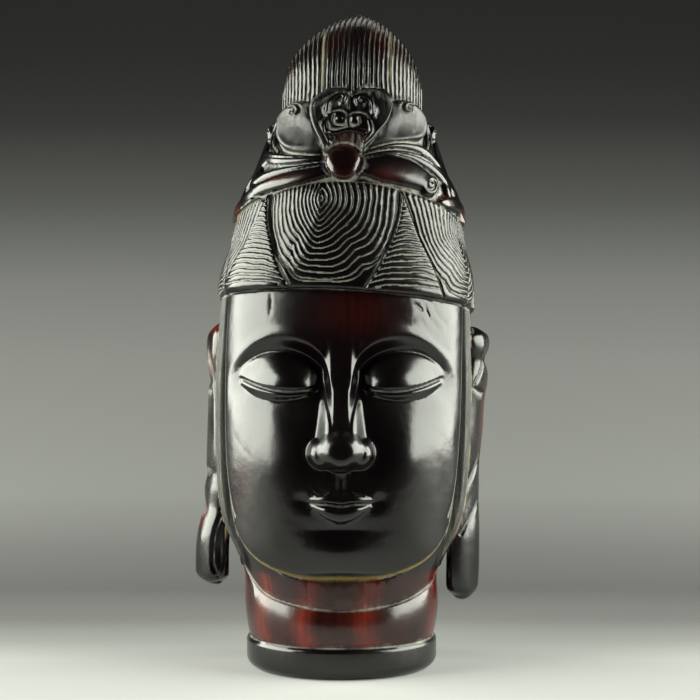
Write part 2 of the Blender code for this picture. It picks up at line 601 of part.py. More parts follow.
def ear_net(side):
    """One long ear, from its rolled top to the heavy lobe that hangs clear of the neck."""
    far_levels, far, near_levels, near = RIGHT_EAR if side > 0 else LEFT_EAR
    bottom, top = far_levels[0], far_levels[-1]
    t = (1 - np.cos(np.linspace(0, math.pi, EAR_ROWS + 1))) / 2
    turn = np.linspace(0, 2 * math.pi, EAR_COLUMNS, endpoint=False)
    turn, t = np.meshgrid(turn, t)
    level = top + (bottom - top) * t
    far, near = smooth_curve(level, far_levels, far), smooth_curve(level, near_levels, near)
    cap = np.sqrt(1 - (1 - np.clip(np.minimum(t * 16, (1 - t) * 20), 0, 1)) ** 2)
    splay = np.radians(smooth_curve(t, (0, 0.4, 0.8, 1), (24, 24, 36, 38)))
    thick = smooth_curve(t, (0, 0.12, 0.3, 0.6, 0.8, 1), (4.0, 4.4, 3.6, 3.6, 5.0, 5.0))
    shown = (far - near) / 2
    half = np.sqrt(np.maximum(shown**2 - (thick * np.cos(splay)) ** 2, 9)) / np.sin(splay)
    half = np.minimum(half, smooth_curve(t, (0, 0.2, 0.5, 0.75, 1), (12.0, 13.5, 11.0, 9.5, 9.5)))
    back, out = np.cos(turn), np.sin(turn)
    fore_aft = half * cap * np.sign(back) * np.abs(back) ** 0.9
    hollow = 2.0 * hill(back, level, (-0.3, 109), (0.4, 9)) + 1.0 * hill(back, level, (0, 83), (0.4, 10))
    hollow *= np.clip(out, 0, 1) ** 0.3 * ease(0.0, 3.0, (1 - np.abs(back)) * half)
    sideways = (thick * out - hollow) * cap
    x = side * ((far + near) / 2 + fore_aft * np.sin(splay) + sideways * np.cos(splay))
    y = EAR_MIDDLE + fore_aft * np.cos(splay) - sideways * np.sin(splay)
    net = np.stack([x, y, level], 2)
    return net if side > 0 else net[:, ::-1]


def to_metres(points):
    return points * UNIT + np.array((0, 0, BASE_HEIGHT))


def net_object(name, points):
    """A mesh object over a net of points whose columns meet, and whose first and last rows are one point each."""
    rows, columns = points.shape[0] - 1, points.shape[1]
    bm = bmesh.new()
    bmesh.ops.create_grid(bm, x_segments=columns, y_segments=rows, size=0.5)
    for vertex in bm.verts:
        column = round((vertex.co.x + 0.5) * columns) % columns
        row = round((vertex.co.y + 0.5) * rows)
        vertex.co = points[row, column]
    bmesh.ops.remove_doubles(bm, verts=bm.verts, dist=1e-7)
    bmesh.ops.recalc_face_normals(bm, faces=bm.faces)
    bmesh.ops.triangulate(bm, faces=bm.faces)
    mesh = bpy.data.meshes.new(name)
    bm.to_mesh(mesh)
    bm.free()
    obj = bpy.data.objects.new(name, mesh)
    bpy.context.scene.collection.objects.link(obj)
    return obj


def horn():
    material = bpy.data.materials.new("polished_horn")
    material.use_nodes = True
    shader = material.node_tree.nodes["Principled BSDF"]
    shader.inputs["Base Color"].default_value = HORN_COLOUR
    shader.inputs["Roughness"].default_value = HORN_ROUGHNESS
    shader.inputs["Metallic"].default_value = 0.0
    return material


def helper(obj):
    """Marks an object as a tool for a Boolean, not a piece."""
    obj.hide_render = True
    obj.display_type = "WIRE"
    return obj


def table_block():
    """Cuts the foot flat at the level that the head stands on."""
    bm = bmesh.new()
    bmesh.ops.create_cube(bm, size=1.0)
    bmesh.ops.scale(bm, verts=bm.verts, vec=(4 * BASE_HALF_WIDTH, 4 * BASE_HALF_WIDTH, 2 * BASE_HEIGHT))
    bmesh.ops.translate(bm, verts=bm.verts, vec=(0, 0, -BASE_HEIGHT))
    mesh = bpy.data.meshes.new("table_block")
    bm.to_mesh(mesh)
    bm.free()
    obj = bpy.data.objects.new("table_block", mesh)
    bpy.context.scene.collection.objects.link(obj)
    return helper(obj)


def add_boolean(obj, operation, other):
    modifier = obj.modifiers.new(other.name, "BOOLEAN")
    modifier.operation = operation
    modifier.object = other
    modifier.solver = "EXACT"


def bodhisattva_head():
    obj = net_object("bodhisattva_head", to_metres(head_net()))
    for side, name in ((-1, "left_ear"), (1, "right_ear")):
        add_boolean(obj, "UNION", helper(net_object(name, to_metres(ear_net(side)))))
    reduce = obj.modifiers.new("facets", "DECIMATE")
    reduce.ratio = FACETS / (2 * (COLUMNS * ROWS + 2 * EAR_COLUMNS * EAR_ROWS))
    add_boolean(obj, "DIFFERENCE", table_block())
    obj.data.materials.append(horn())
    obj.data.shade_smooth()
    return obj


def main():
    for obj in list(bpy.data.objects):
        bpy.data.objects.remove(obj)
    bodhisattva_head()


main()
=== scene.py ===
"""A bodhisattva's head carved from one piece of dark buffalo horn, on a pale table between two soft lights.

The carving is one mesh. It is worked out on a fine net of columns round the head and rows up it, in the
form of the frame's own solid. The long ears are joined to it, and the net is then thinned where it is
smooth. The figure faces -Y, and its right and left are meant as the viewer sees them.
"""

import math

import bmesh
import bpy
import numpy as np
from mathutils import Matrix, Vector


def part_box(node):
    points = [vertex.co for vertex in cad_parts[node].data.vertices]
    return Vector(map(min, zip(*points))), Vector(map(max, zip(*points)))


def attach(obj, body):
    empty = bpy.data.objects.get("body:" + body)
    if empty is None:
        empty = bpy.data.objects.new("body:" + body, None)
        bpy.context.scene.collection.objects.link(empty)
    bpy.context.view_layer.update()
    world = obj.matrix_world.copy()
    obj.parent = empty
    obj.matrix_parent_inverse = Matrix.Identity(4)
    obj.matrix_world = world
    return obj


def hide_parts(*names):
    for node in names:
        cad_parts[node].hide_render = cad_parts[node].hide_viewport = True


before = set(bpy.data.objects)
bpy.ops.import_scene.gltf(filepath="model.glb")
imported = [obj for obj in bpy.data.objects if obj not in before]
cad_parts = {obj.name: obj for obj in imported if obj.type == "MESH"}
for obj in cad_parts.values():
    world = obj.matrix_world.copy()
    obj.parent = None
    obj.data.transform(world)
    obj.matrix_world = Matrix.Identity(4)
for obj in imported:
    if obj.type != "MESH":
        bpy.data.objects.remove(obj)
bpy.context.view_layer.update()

# One unit of the figure is a millimetre at its nominal height. Levels are units above the base ring's top.
NODE = "bodhisattva_head"
LOW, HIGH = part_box(NODE)
NOMINAL_HEIGHT = 260.0
UNIT = (HIGH[2] - LOW[2]) / NOMINAL_HEIGHT
RING_HEIGHT = 12.0
TOP = NOMINAL_HEIGHT - RING_HEIGHT
RING_HALF_WIDTH = 37.9
RING_HALF_DEPTH = 36.2
RING_FOOT_ROUND = 4.5
RING_TOP_ROUND = 1.6
NECK_INSET = 1.4

# The face follows the usual canon of three equal parts, and the hair covers half of the first.
CHIN = 27.0
THIRD = 43.6
NOSE_BASE = CHIN + THIRD
BROW = CHIN + 2 * THIRD
HAIRLINE = BROW + THIRD / 2 + 1.0
EYE_LEVEL = BROW - 0.27 * THIRD
MOUTH = NOSE_BASE - THIRD / 3
MOUTH_HALF = 14.2
FACE_HALF_WIDTH = 50.0
FACE_REACH = math.radians(68)

# A drum is the radius on which distances round a part of the head are counted.
FACE_DRUM = 46.0
HAIR_DRUM = 47.0
TEMPLE_DRUM = 50.0
NAPE_DRUM = 44.0
NECK_DRUM = 38.0
KNOT_DRUM = 30.5
BACK_DRUM = 38.0

# Hair and topknot
KNOT_FOOT = 208.0
KNOT_HEIGHT = TOP - KNOT_FOOT
NAPE = 22.0
NAPE_HALF_WIDTH = 66.0
NAPE_PITCH = 2.4
TEMPLE_FRONT = math.radians(69.5)
TEMPLE_BACK = math.radians(104)
TEMPLE_STRANDS = 13
TEMPLE_FILM = 0.27
WEDGE_ANGLES = (-44, 27, 99, 171, 243)
LOCK_EYES = (-14.6, 63, 135, 207, 279.5)
LOCKS = len(LOCK_EYES)
WEDGE_TOP = 174.0
WEDGE_SPREAD = math.radians(18.5)
WEDGE_BARS = 20
RINGS = 14
STRAND_PITCH = 2.1

# The net before it is thinned, and the most triangles it has after that
COLUMNS = 840
ROWS = 640
EAR_COLUMNS = 110
EAR_ROWS = 240
MOST_TRIANGLES = 196000

# Forms of the crown's front, in units round the drum and levels
JEWEL = (-2.6, 183.7)
JEWEL_RADII = (7.0, 7.1)
PETAL_HEIGHT = 4.3
PETAL_TURNS = 1.05
LEFT_HOOK = (-21.4, 204.4)
RIGHT_HOOK = (20.8, 205.6)
LEFT_PETAL = (
    (-9.5, 188.4), (-14.8, 186.9), (-22.1, 188.0), (-27.4, 190.6), (-31.1, 196.6), (-31.0, 202.3),
    (-27.6, 207.2), (-21.4, 209.9), (-15.6, 208.6), (-11.5, 203.5), (-9.5, 196.0),
)
RIGHT_PETAL = (
    (4.6, 188.2), (12.7, 190.8), (20.7, 192.2), (28.8, 194.2), (31.4, 199.0), (30.2, 204.2),
    (26.2, 208.4), (20.1, 210.3), (14.2, 208.6), (10.5, 203.0), (7.0, 195.0),
)
HEART = (
    (-0.2, 211.9), (-3.0, 213.3), (-6.6, 213.4), (-11.1, 211.8), (-14.4, 209.0), (-15.4, 205.4),
    (-14.9, 201.2), (-13.9, 197.5), (-12.3, 193.8), (-10.8, 190.4), (-9.0, 186.5), (3.4, 186.5),
    (5.5, 189.2), (7.6, 191.6), (9.7, 194.8), (12.3, 198.6), (14.1, 203.3), (14.7, 207.4),
    (13.7, 211.0), (10.9, 213.4), (7.1, 214.1), (3.0, 213.4),
)
HEART_POINTS = 150

# Each leaf of the crown's front: its curve, half widths from root to tip, height and depth of its vein
FRONT_LEAVES = (
    (((-30, 189), (-36, 193), (-37.5, 198), (-33, 203.5)), (2.2, 3.4, 3.2, 0.5), 3.0, 0.7),
    (((-9, 185.4), (-20, 185.0), (-30, 186.0), (-39, 188.6)), (0.8, 2.1, 3.0, 3.2), 3.1, 0.2),
    (((-34, 188), (-40, 187), (-46, 184), (-52, 177)), (2.4, 3.2, 3.0, 1.4), 3.0, 0.0),
    (((-9, 183.0), (-20, 181.2), (-32, 181.2), (-44, 177.2)), (0.6, 1.3, 2.0, 2.2), 3.5, 0.0),
    (((-9, 180.4), (-20, 177.0), (-31, 177.2), (-40, 173.6)), (2.6, 3.4, 3.2, 2.6), 3.9, 0.0),
    (((-34, 176), (-42, 174.4), (-49, 169.6), (-55, 163.6)), (2.0, 3.4, 3.8, 2.6), 3.8, 0.0),
    (((30, 188), (35, 192.5), (36.5, 198), (32, 203.5)), (2.2, 3.4, 3.2, 0.5), 3.0, 0.7),
    (((5, 187.4), (16, 192), (27, 193.2), (40, 184.6)), (0.5, 1.2, 1.9, 2.0), 3.1, 0.0),
    (((5, 185.8), (17, 189.4), (29, 187.6), (42, 178.4)), (0.6, 1.6, 2.5, 2.4), 3.5, 0.2),
    (((36, 183), (45, 180), (52, 173), (57, 164.5)), (1.8, 3.4, 4.0, 2.6), 3.4, 0.0),
    (((4.0, 181.6), (12, 182.2), (21, 181.4), (29, 177.0)), (3.4, 6.0, 6.0, 4.4), 4.3, 0.0),
)

# The curled leaf ends on the right: centre, radius and height
FRONT_CURLS = (((31.0, 175.6), 4.9, 4.6), ((57.6, 163.6), 3.6, 3.6))

# The places round the back, in degrees from the front, where its leaves are rooted on each side
BACK_LEAF_ANGLES = (78, 112, 146)

# The cloud plate's lines and pads, and its ridges with their half widths and heights
PLATE_LINES = (
    ((-1.1, 211.8), (-1.2, 208.7), (-1.4, 204.8)),
    (
        (-11.0, 197.2), (-9.9, 201.1), (-7.3, 203.6), (-4.6, 204.1), (-2.3, 202.8), (-1.3, 200.4),
        (-1.2, 198.0),
    ),
    (
        (-1.2, 200.8), (-0.1, 202.7), (2.4, 203.3), (4.7, 202.6), (6.6, 200.3), (7.9, 197.6),
        (8.1, 194.6),
    ),
    ((-1.5, 198.2), (-3.8, 197.6), (-5.8, 198.0), (-6.7, 199.6), (-6.2, 201.9)),
    ((-8.3, 198.8), (-7.9, 196.4), (-5.6, 195.9), (-1.2, 197.2)),
    ((-1.2, 199.6), (-0.5, 198.1), (1.7, 197.6), (2.9, 198.7), (2.7, 200.4)),
)
PLATE_PADS = (
    (
        (-11.0, 196.6), (-10.7, 199.4), (-9.4, 201.5), (-7.3, 203.2), (-4.6, 203.7), (-2.5, 202.6),
        (-1.4, 200.4), (-1.3, 197.6), (-4.0, 195.4), (-8.4, 194.6),
    ),
    (
        (-1.2, 199.2), (-0.9, 201.2), (0.2, 202.5), (2.4, 202.9), (4.5, 202.3), (6.2, 200.1),
        (7.6, 197.6), (7.4, 195.0), (4.4, 195.2), (1.4, 196.4),
    ),
)
PLATE_RIDGES = (
    (((-8.8, 202.4), (-8.6, 206.6), (-6.4, 209.4), (-4.1, 210.5), (-2.9, 209.1), (-3.4, 207.4)), 0.95, 1.5),
    (
        ((7.5, 202.6), (7.2, 206.6), (5.6, 209.0), (3.2, 209.9), (1.8, 208.3), (2.4, 206.4), (3.8, 206.2)),
        0.8, 1.3,
    ),
    (((-10.5, 198.4), (-10.6, 194.6), (-8.5, 191.1)), 1.6, 1.9),
    (((6.2, 199.2), (7.1, 194.9), (5.0, 191.0)), 1.2, 1.9),
    (((-7.1, 194.6), (-4.1, 195.1), (-1.1, 196.0), (1.9, 195.5), (4.9, 194.5)), 0.9, 1.5),
)
PLATE_BUDS = ((-4.3, 200.3), (1.0, 200.3))
BUD_RADIUS = 1.9

# Each ear's outer and inner edge as they show from the front, as levels and distances from the middle
RIGHT_EAR = (
    (12.7, 15, 22, 34, 50, 65, 81, 96, 99, 103, 106, 109.5, 114, 119, 123),
    (50.0, 53.6, 55.6, 55.9, 56.0, 56.0, 57.5, 58.6, 59.3, 59.6, 59.0, 57.7, 59.8, 60.3, 56.5),
    (12.7, 15, 22, 34, 50, 80, 123),
    (47.0, 43.6, 42.0, 42.4, 43.5, 46.5, 48.5),
)
LEFT_EAR = (
    (18.8, 21, 26, 34, 45, 50, 57, 64.5, 67, 81, 93, 98.5, 101, 106, 113, 120, 124.6),
    (52.6, 57.8, 59.4, 59.2, 57.2, 55.0, 55.8, 54.4, 55.0, 54.7, 54.2, 53.9, 52.8, 54.0, 54.8, 54.2, 51.5),
    (18.8, 21, 26, 34, 45, 60, 124.6),
    (48.2, 46.0, 45.2, 45.2, 44.6, 44.4, 44.0),
)
EAR_MIDDLE = 4.0

# Marks of age on the brow and cheek: each one's line, half width and depth
AGE_MARKS = (
    (((-26.6, 134.5), (-26.0, 131.0), (-27.2, 126.4)), 0.32, 0.14),
    (((28.0, 130.2), (29.2, 129.4), (30.2, 128.6)), 0.6, 0.35),
    (((31.0, 131.5), (33.4, 126.0), (37.5, 121.0)), 0.5, 0.16),
    (((34.5, 132.0), (36.5, 127.0), (40.5, 123.0)), 0.5, 0.16),
    (((30.5, 124.0), (35.0, 117.5), (41.0, 112.5)), 0.5, 0.14),
    (((-40.8, 81.2), (-38.4, 77.6), (-34.2, 73.4)), 0.32, 0.10),
)

# A clear yellowish spot in the horn of one cheek
CHEEK_SPOT = (37, 75)

# Red streaks in the neck: angle and width in degrees, and strength
NECK_STREAKS = ((-86, 9, 0.8), (-52, 6, 0.7), (-21, 6, 0.9), (15.5, 6.5, 0.8), (70, 8, 0.45))

# Patterns in the horn, as counts to a metre: fibres 1.7 mm apart and 33 mm long, soft dents 9 mm wide,
# cloudy patches 24 mm wide and grain of 0.8 mm
FIBRES_ACROSS = 600.0
FIBRES_ALONG = 30.0
DENTS = 110.0
CLOUDS = 42.0
GRAINS = 1300.0

# Colours as the eye sees them
DARK_HORN = "#040203"
CLOUDY_HORN = "#0a0405"
RED_HORN = "#6e2112"
AMBER_HORN = "#6b3413"
PALE_WAX = "#85857a"
YELLOW_WAX = "#7a682a"
SOFTBOX_LIGHT = "#fbfff2"
ROOM_LIGHT = "#2c2d2e"

# The backdrop in metres: a table that runs back, bends up in an arc of short facets, and rises as a wall
SWEEP_FRONT = -1.4
SWEEP_BACK = 1.1
SWEEP_BEND = 0.45
SWEEP_RISE = 1.6
SWEEP_HALF_WIDTH = 2.2
SWEEP_FACETS = 24

# The backdrop's tone, painted with light and shade, from the table's front to the top of the wall, by metres
# along and up it
SWEEP_NEAR = -0.5
SWEEP_FAR = 2.2
# Painted shade and light: near black in front of the table, a dark band where it bends up, a wall lighter low
# down
SWEEP_LIGHT_AND_SHADE_TONES = (
    (-0.50, 0.01), (-0.22, 0.02), (-0.20, 0.28), (-0.075, 0.46), (-0.03, 0.485), (0.005, 0.46),
    (0.048, 0.276), (0.098, 0.149), (0.19, 0.097), (0.35, 0.133), (0.67, 0.243), (0.88, 0.194),
    (1.07, 0.159), (1.22, 0.118), (1.36, 0.0515), (1.476, 0.0185), (1.55, 0.0115), (1.60, 0.010),
)

# Each light's name, place, aim, width and height in metres, and its power in watts
SOFTBOXES = (
    ("left_softbox", (-0.95, -0.08, 0.40), (0, 0, 0.13), 1.2, 0.80, 36),
    ("right_softbox", (0.95, -0.08, 0.40), (0, 0, 0.13), 1.2, 0.80, 33),
    ("wall_softbox", (0, 0.6, 1.1), (0, 0.6, 0), 0.7, 0.4, 1.5),
)
ROOM_STRENGTH = 0.5

# The camera looks level at the face. Its lens and sensor are in millimetres.
CAMERA_PLACE = (0.0034, -0.62, 0.1255)
CAMERA_LENS = 79.4
CAMERA_SENSOR = 36


def ease(low, high, x):
    """0 below low, 1 above high, and a smooth rise between them."""
    t = np.clip((x - low) / (high - low), 0, 1)
    return t * t * (3 - 2 * t)


def smooth_curve(x, stations, values):
    """A monotone cubic through the stations, so that a profile has no overshoot."""
    stations, values = np.asarray(stations, float), np.asarray(values, float)
    step = np.diff(stations)
    slope = np.diff(values) / step
    tangent = np.concatenate([slope[:1], (slope[1:] + slope[:-1]) / 2, slope[-1:]])
    tangent[np.concatenate([[False], slope[1:] * slope[:-1] <= 0, [False]])] = 0
    before, after = np.concatenate([slope[:1], slope]), np.concatenate([slope, slope[-1:]])
    limit = 3 * np.minimum(np.abs(before), np.abs(after))
    tangent = np.clip(tangent, -limit, limit)
    i = np.clip(np.searchsorted(stations, x) - 1, 0, len(step) - 1)
    t = np.clip((x - stations[i]) / step[i], 0, 1)
    return (
        values[i] * (1 + 2 * t) * (1 - t) ** 2
        + values[i + 1] * t * t * (3 - 2 * t)
        + step[i] * tangent[i] * t * (1 - t) ** 2
        - step[i] * tangent[i + 1] * t * t * (1 - t)
    )


def spaced(start, end, count, spacing):
    """count + 1 places from start to end, set as far apart as the function spacing asks."""
    fine = np.linspace(start, end, 8001)
    steps = 1 / spacing((fine[1:] + fine[:-1]) / 2)
    reached = np.concatenate([[0], np.cumsum(steps)])
    return np.interp(np.linspace(0, reached[-1], count + 1), reached, fine)


def bezier(points, count=24):
    """Points along the smooth curve that the control points pull."""
    points = np.asarray(points, float)
    t = np.linspace(0, 1, count)[:, None]
    n = len(points) - 1
    return sum(math.comb(n, k) * t**k * (1 - t) ** (n - k) * points[k] for k in range(n + 1))


def through(points, count=40):
    """Points along a smooth curve that passes through the given ones."""
    points = np.asarray(points, float)
    reached = np.concatenate([[0], np.cumsum(np.hypot(*np.diff(points, axis=0).T))])
    t = np.linspace(0, reached[-1], count)
    return np.stack([smooth_curve(t, reached, points[:, k]) for k in range(2)], 1)


def spiral(centre, radius, turns, start, direction, count=44):
    """Points along a curl that closes in on its centre. start is its first angle in degrees."""
    t = np.linspace(0, 1, count)
    angle = math.radians(start) + direction * 2 * math.pi * turns * t
    reach = radius * (1 - 0.84 * t)
    return np.stack([centre[0] + reach * np.cos(angle), centre[1] + reach * np.sin(angle)], 1)


def along(x, z, curve, reach):
    """Distance of each place from a curve, out to reach, and the share of the curve passed there."""
    distance = np.full(x.shape, 1e3)
    passed = np.zeros(x.shape)
    low, high = curve.min(0) - reach, curve.max(0) + reach
    near = (x > low[0]) & (x < high[0]) & (z > low[1]) & (z < high[1])
    px, pz = x[near], z[near]
    if not px.size:
        return distance, passed
    best, share = np.full(px.shape, 1e3), np.zeros(px.shape)
    for i, ((ax, az), (bx, bz)) in enumerate(zip(curve[:-1], curve[1:])):
        length = max(math.hypot(bx - ax, bz - az), 1e-6)
        t = np.clip(((px - ax) * (bx - ax) + (pz - az) * (bz - az)) / length**2, 0, 1)
        d = np.hypot(px - ax - t * (bx - ax), pz - az - t * (bz - az))
        nearer = d < best
        best = np.where(nearer, d, best)
        share = np.where(nearer, (i + t) / (len(curve) - 1), share)
    distance[near], passed[near] = best, share
    return distance, passed


def depth_inside(x, z, outline, count=90):
    """Distance inside a smooth closed outline through the given points, or less than 0 outside it."""
    points = np.asarray(outline, float)
    points = np.concatenate([points[-2:], points, points[:3]])
    reached = np.concatenate([[0], np.cumsum(np.hypot(*np.diff(points, axis=0).T))])
    t = np.linspace(reached[2], reached[-3], count)
    curve = np.stack([smooth_curve(t, reached, points[:, k]) for k in range(2)], 1)
    distance, _ = along(x, z, curve, 3.0)
    low, high = curve.min(0), curve.max(0)
    near = (x > low[0]) & (x < high[0]) & (z > low[1]) & (z < high[1])
    px, pz = x[near], z[near]
    crossings = np.zeros(px.shape, int)
    for (ax, az), (bx, bz) in zip(curve[:-1], curve[1:]):
        if az != bz:
            spans = (az > pz) != (bz > pz)
            crossings += spans & (px < ax + (pz - az) * (bx - ax) / (bz - az))
    inside = np.zeros(x.shape, bool)
    inside[near] = crossings % 2 == 1
    return np.where(inside, distance, -distance)


def cushion(share, fullness):
    """Height of a rounded form at a share of its half width: 1 in the middle, 0 at its edge."""
    return np.clip(1 - np.abs(share) ** fullness, 0, 1) ** 0.5


def groove(distance, width):
    """A rounded cut of depth 1 along a line."""
    return np.exp(-((distance / width) ** 2))


def hill(x, z, centre, spread):
    """A smooth round rise of height 1 with the given spread along x and z."""
    return np.exp(-(((x - centre[0]) / spread[0]) ** 2) - ((z - centre[1]) / spread[1]) ** 2)


def blend(first, second, soft):
    """The higher of two forms, with the line where they meet rounded over soft units."""
    share = np.clip(0.5 + 0.5 * (first - second) / soft, 0, 1)
    return second + (first - second) * share + soft * share * (1 - share)


def comb(phase, cut=0.34):
    """Combed ridges, one to a unit of phase: 1 on a ridge's broad back and 0 at the foot of a cut."""
    across = np.abs((phase % 1.0) - 0.5) * 2
    return 1 - ease(1 - cut, 1.0, across) - 0.10 * across**2


def wander(x, z, scale, seed):
    """A slow uneven drift between about -1 and 1, as a hand-held tool leaves."""
    out = 0.0
    for k in range(5):
        turn = seed * 1.7 + k * 2.4
        size = scale / (1 + 0.55 * k)
        wave = np.sin((x * math.cos(turn) + z * math.sin(turn)) / size + 3.1 * k + seed)
        out = out + wave / (1.6 + 0.6 * k)
    return out * 0.6


def oval(angle, half_width, front, back, fullness):
    """Radius of an oval section at an angle from the front."""
    depth = np.where(np.cos(angle) > 0, front, back)
    across = np.abs(np.sin(angle)) / np.maximum(half_width, 1e-6)
    through_it = np.abs(np.cos(angle)) / np.maximum(depth, 1e-6)
    return (across**fullness + through_it**fullness) ** (-1 / fullness)


def knot_share(level):
    """Width of the topknot at a level, as a share of its width at the foot."""
    s = np.clip((level - KNOT_FOOT) / KNOT_HEIGHT, 0, 1)
    return (1 - s**2.8) ** 0.8


def drift(level):
    """The horn's slight lean to one side."""
    levels = (0, 60, 100, 134, 168, 190, 216, 230, 241, 248)
    return smooth_curve(level, levels, (0, 0.3, 0.8, 1.7, 3.2, 3.8, 4.4, 4.6, 5.7, 7.4))


def body_radius(angle, level):
    """Neck, skull, crown and topknot as one smooth turned form."""
    foot_width, foot_depth = RING_HALF_WIDTH - NECK_INSET, RING_HALF_DEPTH - NECK_INSET
    levels = (0, 12, 24, 36, 50, 73, 103, 130, 171, 188, 202, KNOT_FOOT, 213)
    widths = (foot_width, 37.0, 37.8, 42.0, 45.6, 47.2, 47.8, 46.9, 41.6, 33.8, 29.2, 28.4, 28.1)
    fronts = (foot_depth, 35.4, 36.2, 37.5, 40.0, 42.5, 43.0, 43.0, 39.5, 33.2, 28.4, 26.6, 25.4)
    backs = (foot_depth, 36.6, 38.6, 41.5, 44.5, 47.0, 48.0, 47.0, 40.5, 33.6, 28.8, 26.8, 25.6)
    shrink = knot_share(level)
    return oval(
        angle,
        smooth_curve(level, levels, widths) * shrink,
        smooth_curve(level, levels, fronts) * shrink,
        smooth_curve(level, levels, backs) * shrink,
        2.15,
    )


def ring_radius(angle, level):
    """The base ring, rounded under its foot and more tightly along its top."""
    above, below = level + RING_HEIGHT, -level
    inset = RING_FOOT_ROUND * (1 - np.sqrt(1 - np.clip(1 - above / RING_FOOT_ROUND, 0, 1) ** 2))
    inset += RING_TOP_ROUND * (1 - np.sqrt(1 - np.clip(1 - below / RING_TOP_ROUND, 0, 1) ** 2))
    return oval(angle, RING_HALF_WIDTH, RING_HALF_DEPTH, RING_HALF_DEPTH, 2.1) - inset


def mask_radius(angle, level):
    """The face's own smooth surface, before its features."""
    levels = (27, 40, 58, 80, 103, 122, 140)
    widths = np.array((0.93, 0.965, 0.99, 1.0, 1.005, 1.0, 0.99)) * FACE_HALF_WIDTH
    fronts = (43.5, 46.0, 46.4, 46.2, 45.2, 45.0, 44.2)
    half_width, front = smooth_curve(level, levels, widths), smooth_curve(level, levels, fronts)
    return oval(angle, half_width, front, FACE_HALF_WIDTH, 2.3)


def inside_mask(angle, level):
    """Units inside the face's edge, which runs down beside each ear and round under the chin."""
    half = FACE_REACH * FACE_DRUM
    tall = HAIRLINE - CHIN
    x = np.abs(angle) * FACE_DRUM / half
    z = np.clip(HAIRLINE - level, 0, None) / tall
    reach = (x**4 + z**4) ** 0.25
    return (1 - reach) * np.where(x > z, half, tall)


def temple_form(angle, level):
    """The strip of hair between the face's edge and the ear, cut with a few long strands."""
    turn = np.abs(angle)
    across = (turn - TEMPLE_FRONT) / (TEMPLE_BACK - TEMPLE_FRONT)
    strip = ease(-0.02, 0.04, across) * (1 - ease(0.85, 1.0, across)) * ease(24, 44, level)
    full = smooth_curve(level, (30, 50, 73, 103, 118, 140), (1.2, 2.8, 3.4, 3.2, 2.8, 3.2))
    out = turn * TEMPLE_DRUM
    uneven = 0.15 * wander(out, level, 16.0, 51) + 0.10 * wander(out, level, 3.0, 52)
    deep = 0.7 + 0.4 * wander(out, level, 9.0, 53)
    cuts = deep * (1 - comb(across * TEMPLE_STRANDS + uneven, 0.5))
    return strip * (full - cuts * (across > 0.03) * (across < 0.9))


def hairline(angle):
    """Level of the hair's lower edge, lower at the sides and a little more on the right."""
    return HAIRLINE - 5.5 * (1 - np.cos(angle)) - 2.5 * np.sin(angle)


def crown_foot(angle):
    """Level of the crown's lower edge, which sweeps down from the jewel to the sides."""
    turn = np.abs(np.degrees(angle))
    stations = (0, 15, 26, 36, 48, 62, 75, 95, 180)
    levels = (175.3, 174.8, 173.6, 172.2, 169.4, 166.0, 162.8, 161.0, 161.0)
    return smooth_curve(turn, stations, levels) - 1.3 * np.sin(angle)


def turned(angle, centre):
    """Angle in radians from a centre in degrees, the short way round."""
    return (angle - math.radians(centre) + math.pi) % (2 * math.pi) - math.pi


def wedge_half(level, foot, beside_front):
    """Half the angle that a wedge of hair spans at a level. Its sides bulge beside the front lock."""
    fall = np.clip((WEDGE_TOP - level) / (WEDGE_TOP - foot), 0, 1.2)
    return WEDGE_SPREAD * fall ** (1.7 if beside_front else 1.1)


def lock_form(i, angle, level, foot, lift, beside):
    """Height of one ringed lock of hair, and where it lies."""
    eye_angle = LOCK_EYES[i]
    left = turned(math.radians(WEDGE_ANGLES[i]), eye_angle)
    right = turned(math.radians(WEDGE_ANGLES[(i + 1) % LOCKS]), eye_angle)
    turn = turned(angle, eye_angle)
    room = np.where(turn < 0, -left, right) - wedge_half(level, foot, i == 0)
    side = np.abs(turn) / np.maximum(room, 1e-3)
    eye_level = crown_foot(np.array(math.radians(eye_angle))) - 5.5
    fall = np.clip((eye_level - level) / (eye_level - foot - 1.4), 0, 1.5)
    above = np.clip((level - eye_level) / 7.0, 0, 1) * 0.2
    narrow = side**0.82
    furthest = np.clip(np.maximum(narrow, fall), 0, 1)
    blunt = 1.45 + 0.6 * furthest + 4.2 * furthest**4
    reach = (narrow**blunt + np.maximum(fall, above) ** blunt) ** (1 / blunt)
    out = turn * HAIR_DRUM
    uneven = wander(out, level, 7.0, i + 1) * 0.24 + wander(out, level, 2.4, i + 9) * 0.12
    rings = comb(reach * RINGS + 0.5 + uneven * ease(0, 0.2, reach))
    pillow = lift + 0.3 + 1.3 * np.clip(1 - reach**3, 0, 1) * (1 - 0.6 * beside)
    return pillow + 0.5 * rings * ease(0, 0.03, 1 - reach), (reach < 1.0) & (room > 0)


def wedge_form(i, angle, level, foot, lift):
    """Height of one hatched wedge between two locks, and the distance inside its edge."""
    turn = turned(angle, WEDGE_ANGLES[i])
    left_half = wedge_half(level, foot, (i - 1) % LOCKS == 0)
    half = np.where(turn < 0, left_half, wedge_half(level, foot, i == 0))
    edge = (half - np.abs(turn)) * HAIR_DRUM
    share = turn / np.maximum(half, 1e-3)
    rise = np.clip((level - foot) / (WEDGE_TOP - foot), 0, 1)
    sag = 0.9 * share**2 - 0.7 * share * np.sign(WEDGE_ANGLES[i])
    out = turn * HAIR_DRUM
    uneven = 0.24 * wander(out, level, 4.0, i + 20) + 0.10 * wander(out, level, 1.6, i + 30)
    phase = WEDGE_BARS * rise**1.12 + 0.9 * sag * (1 - rise) + uneven
    return lift + 0.35 + 0.5 * comb(phase, 0.42) * ease(0.2, 1.0, edge), edge


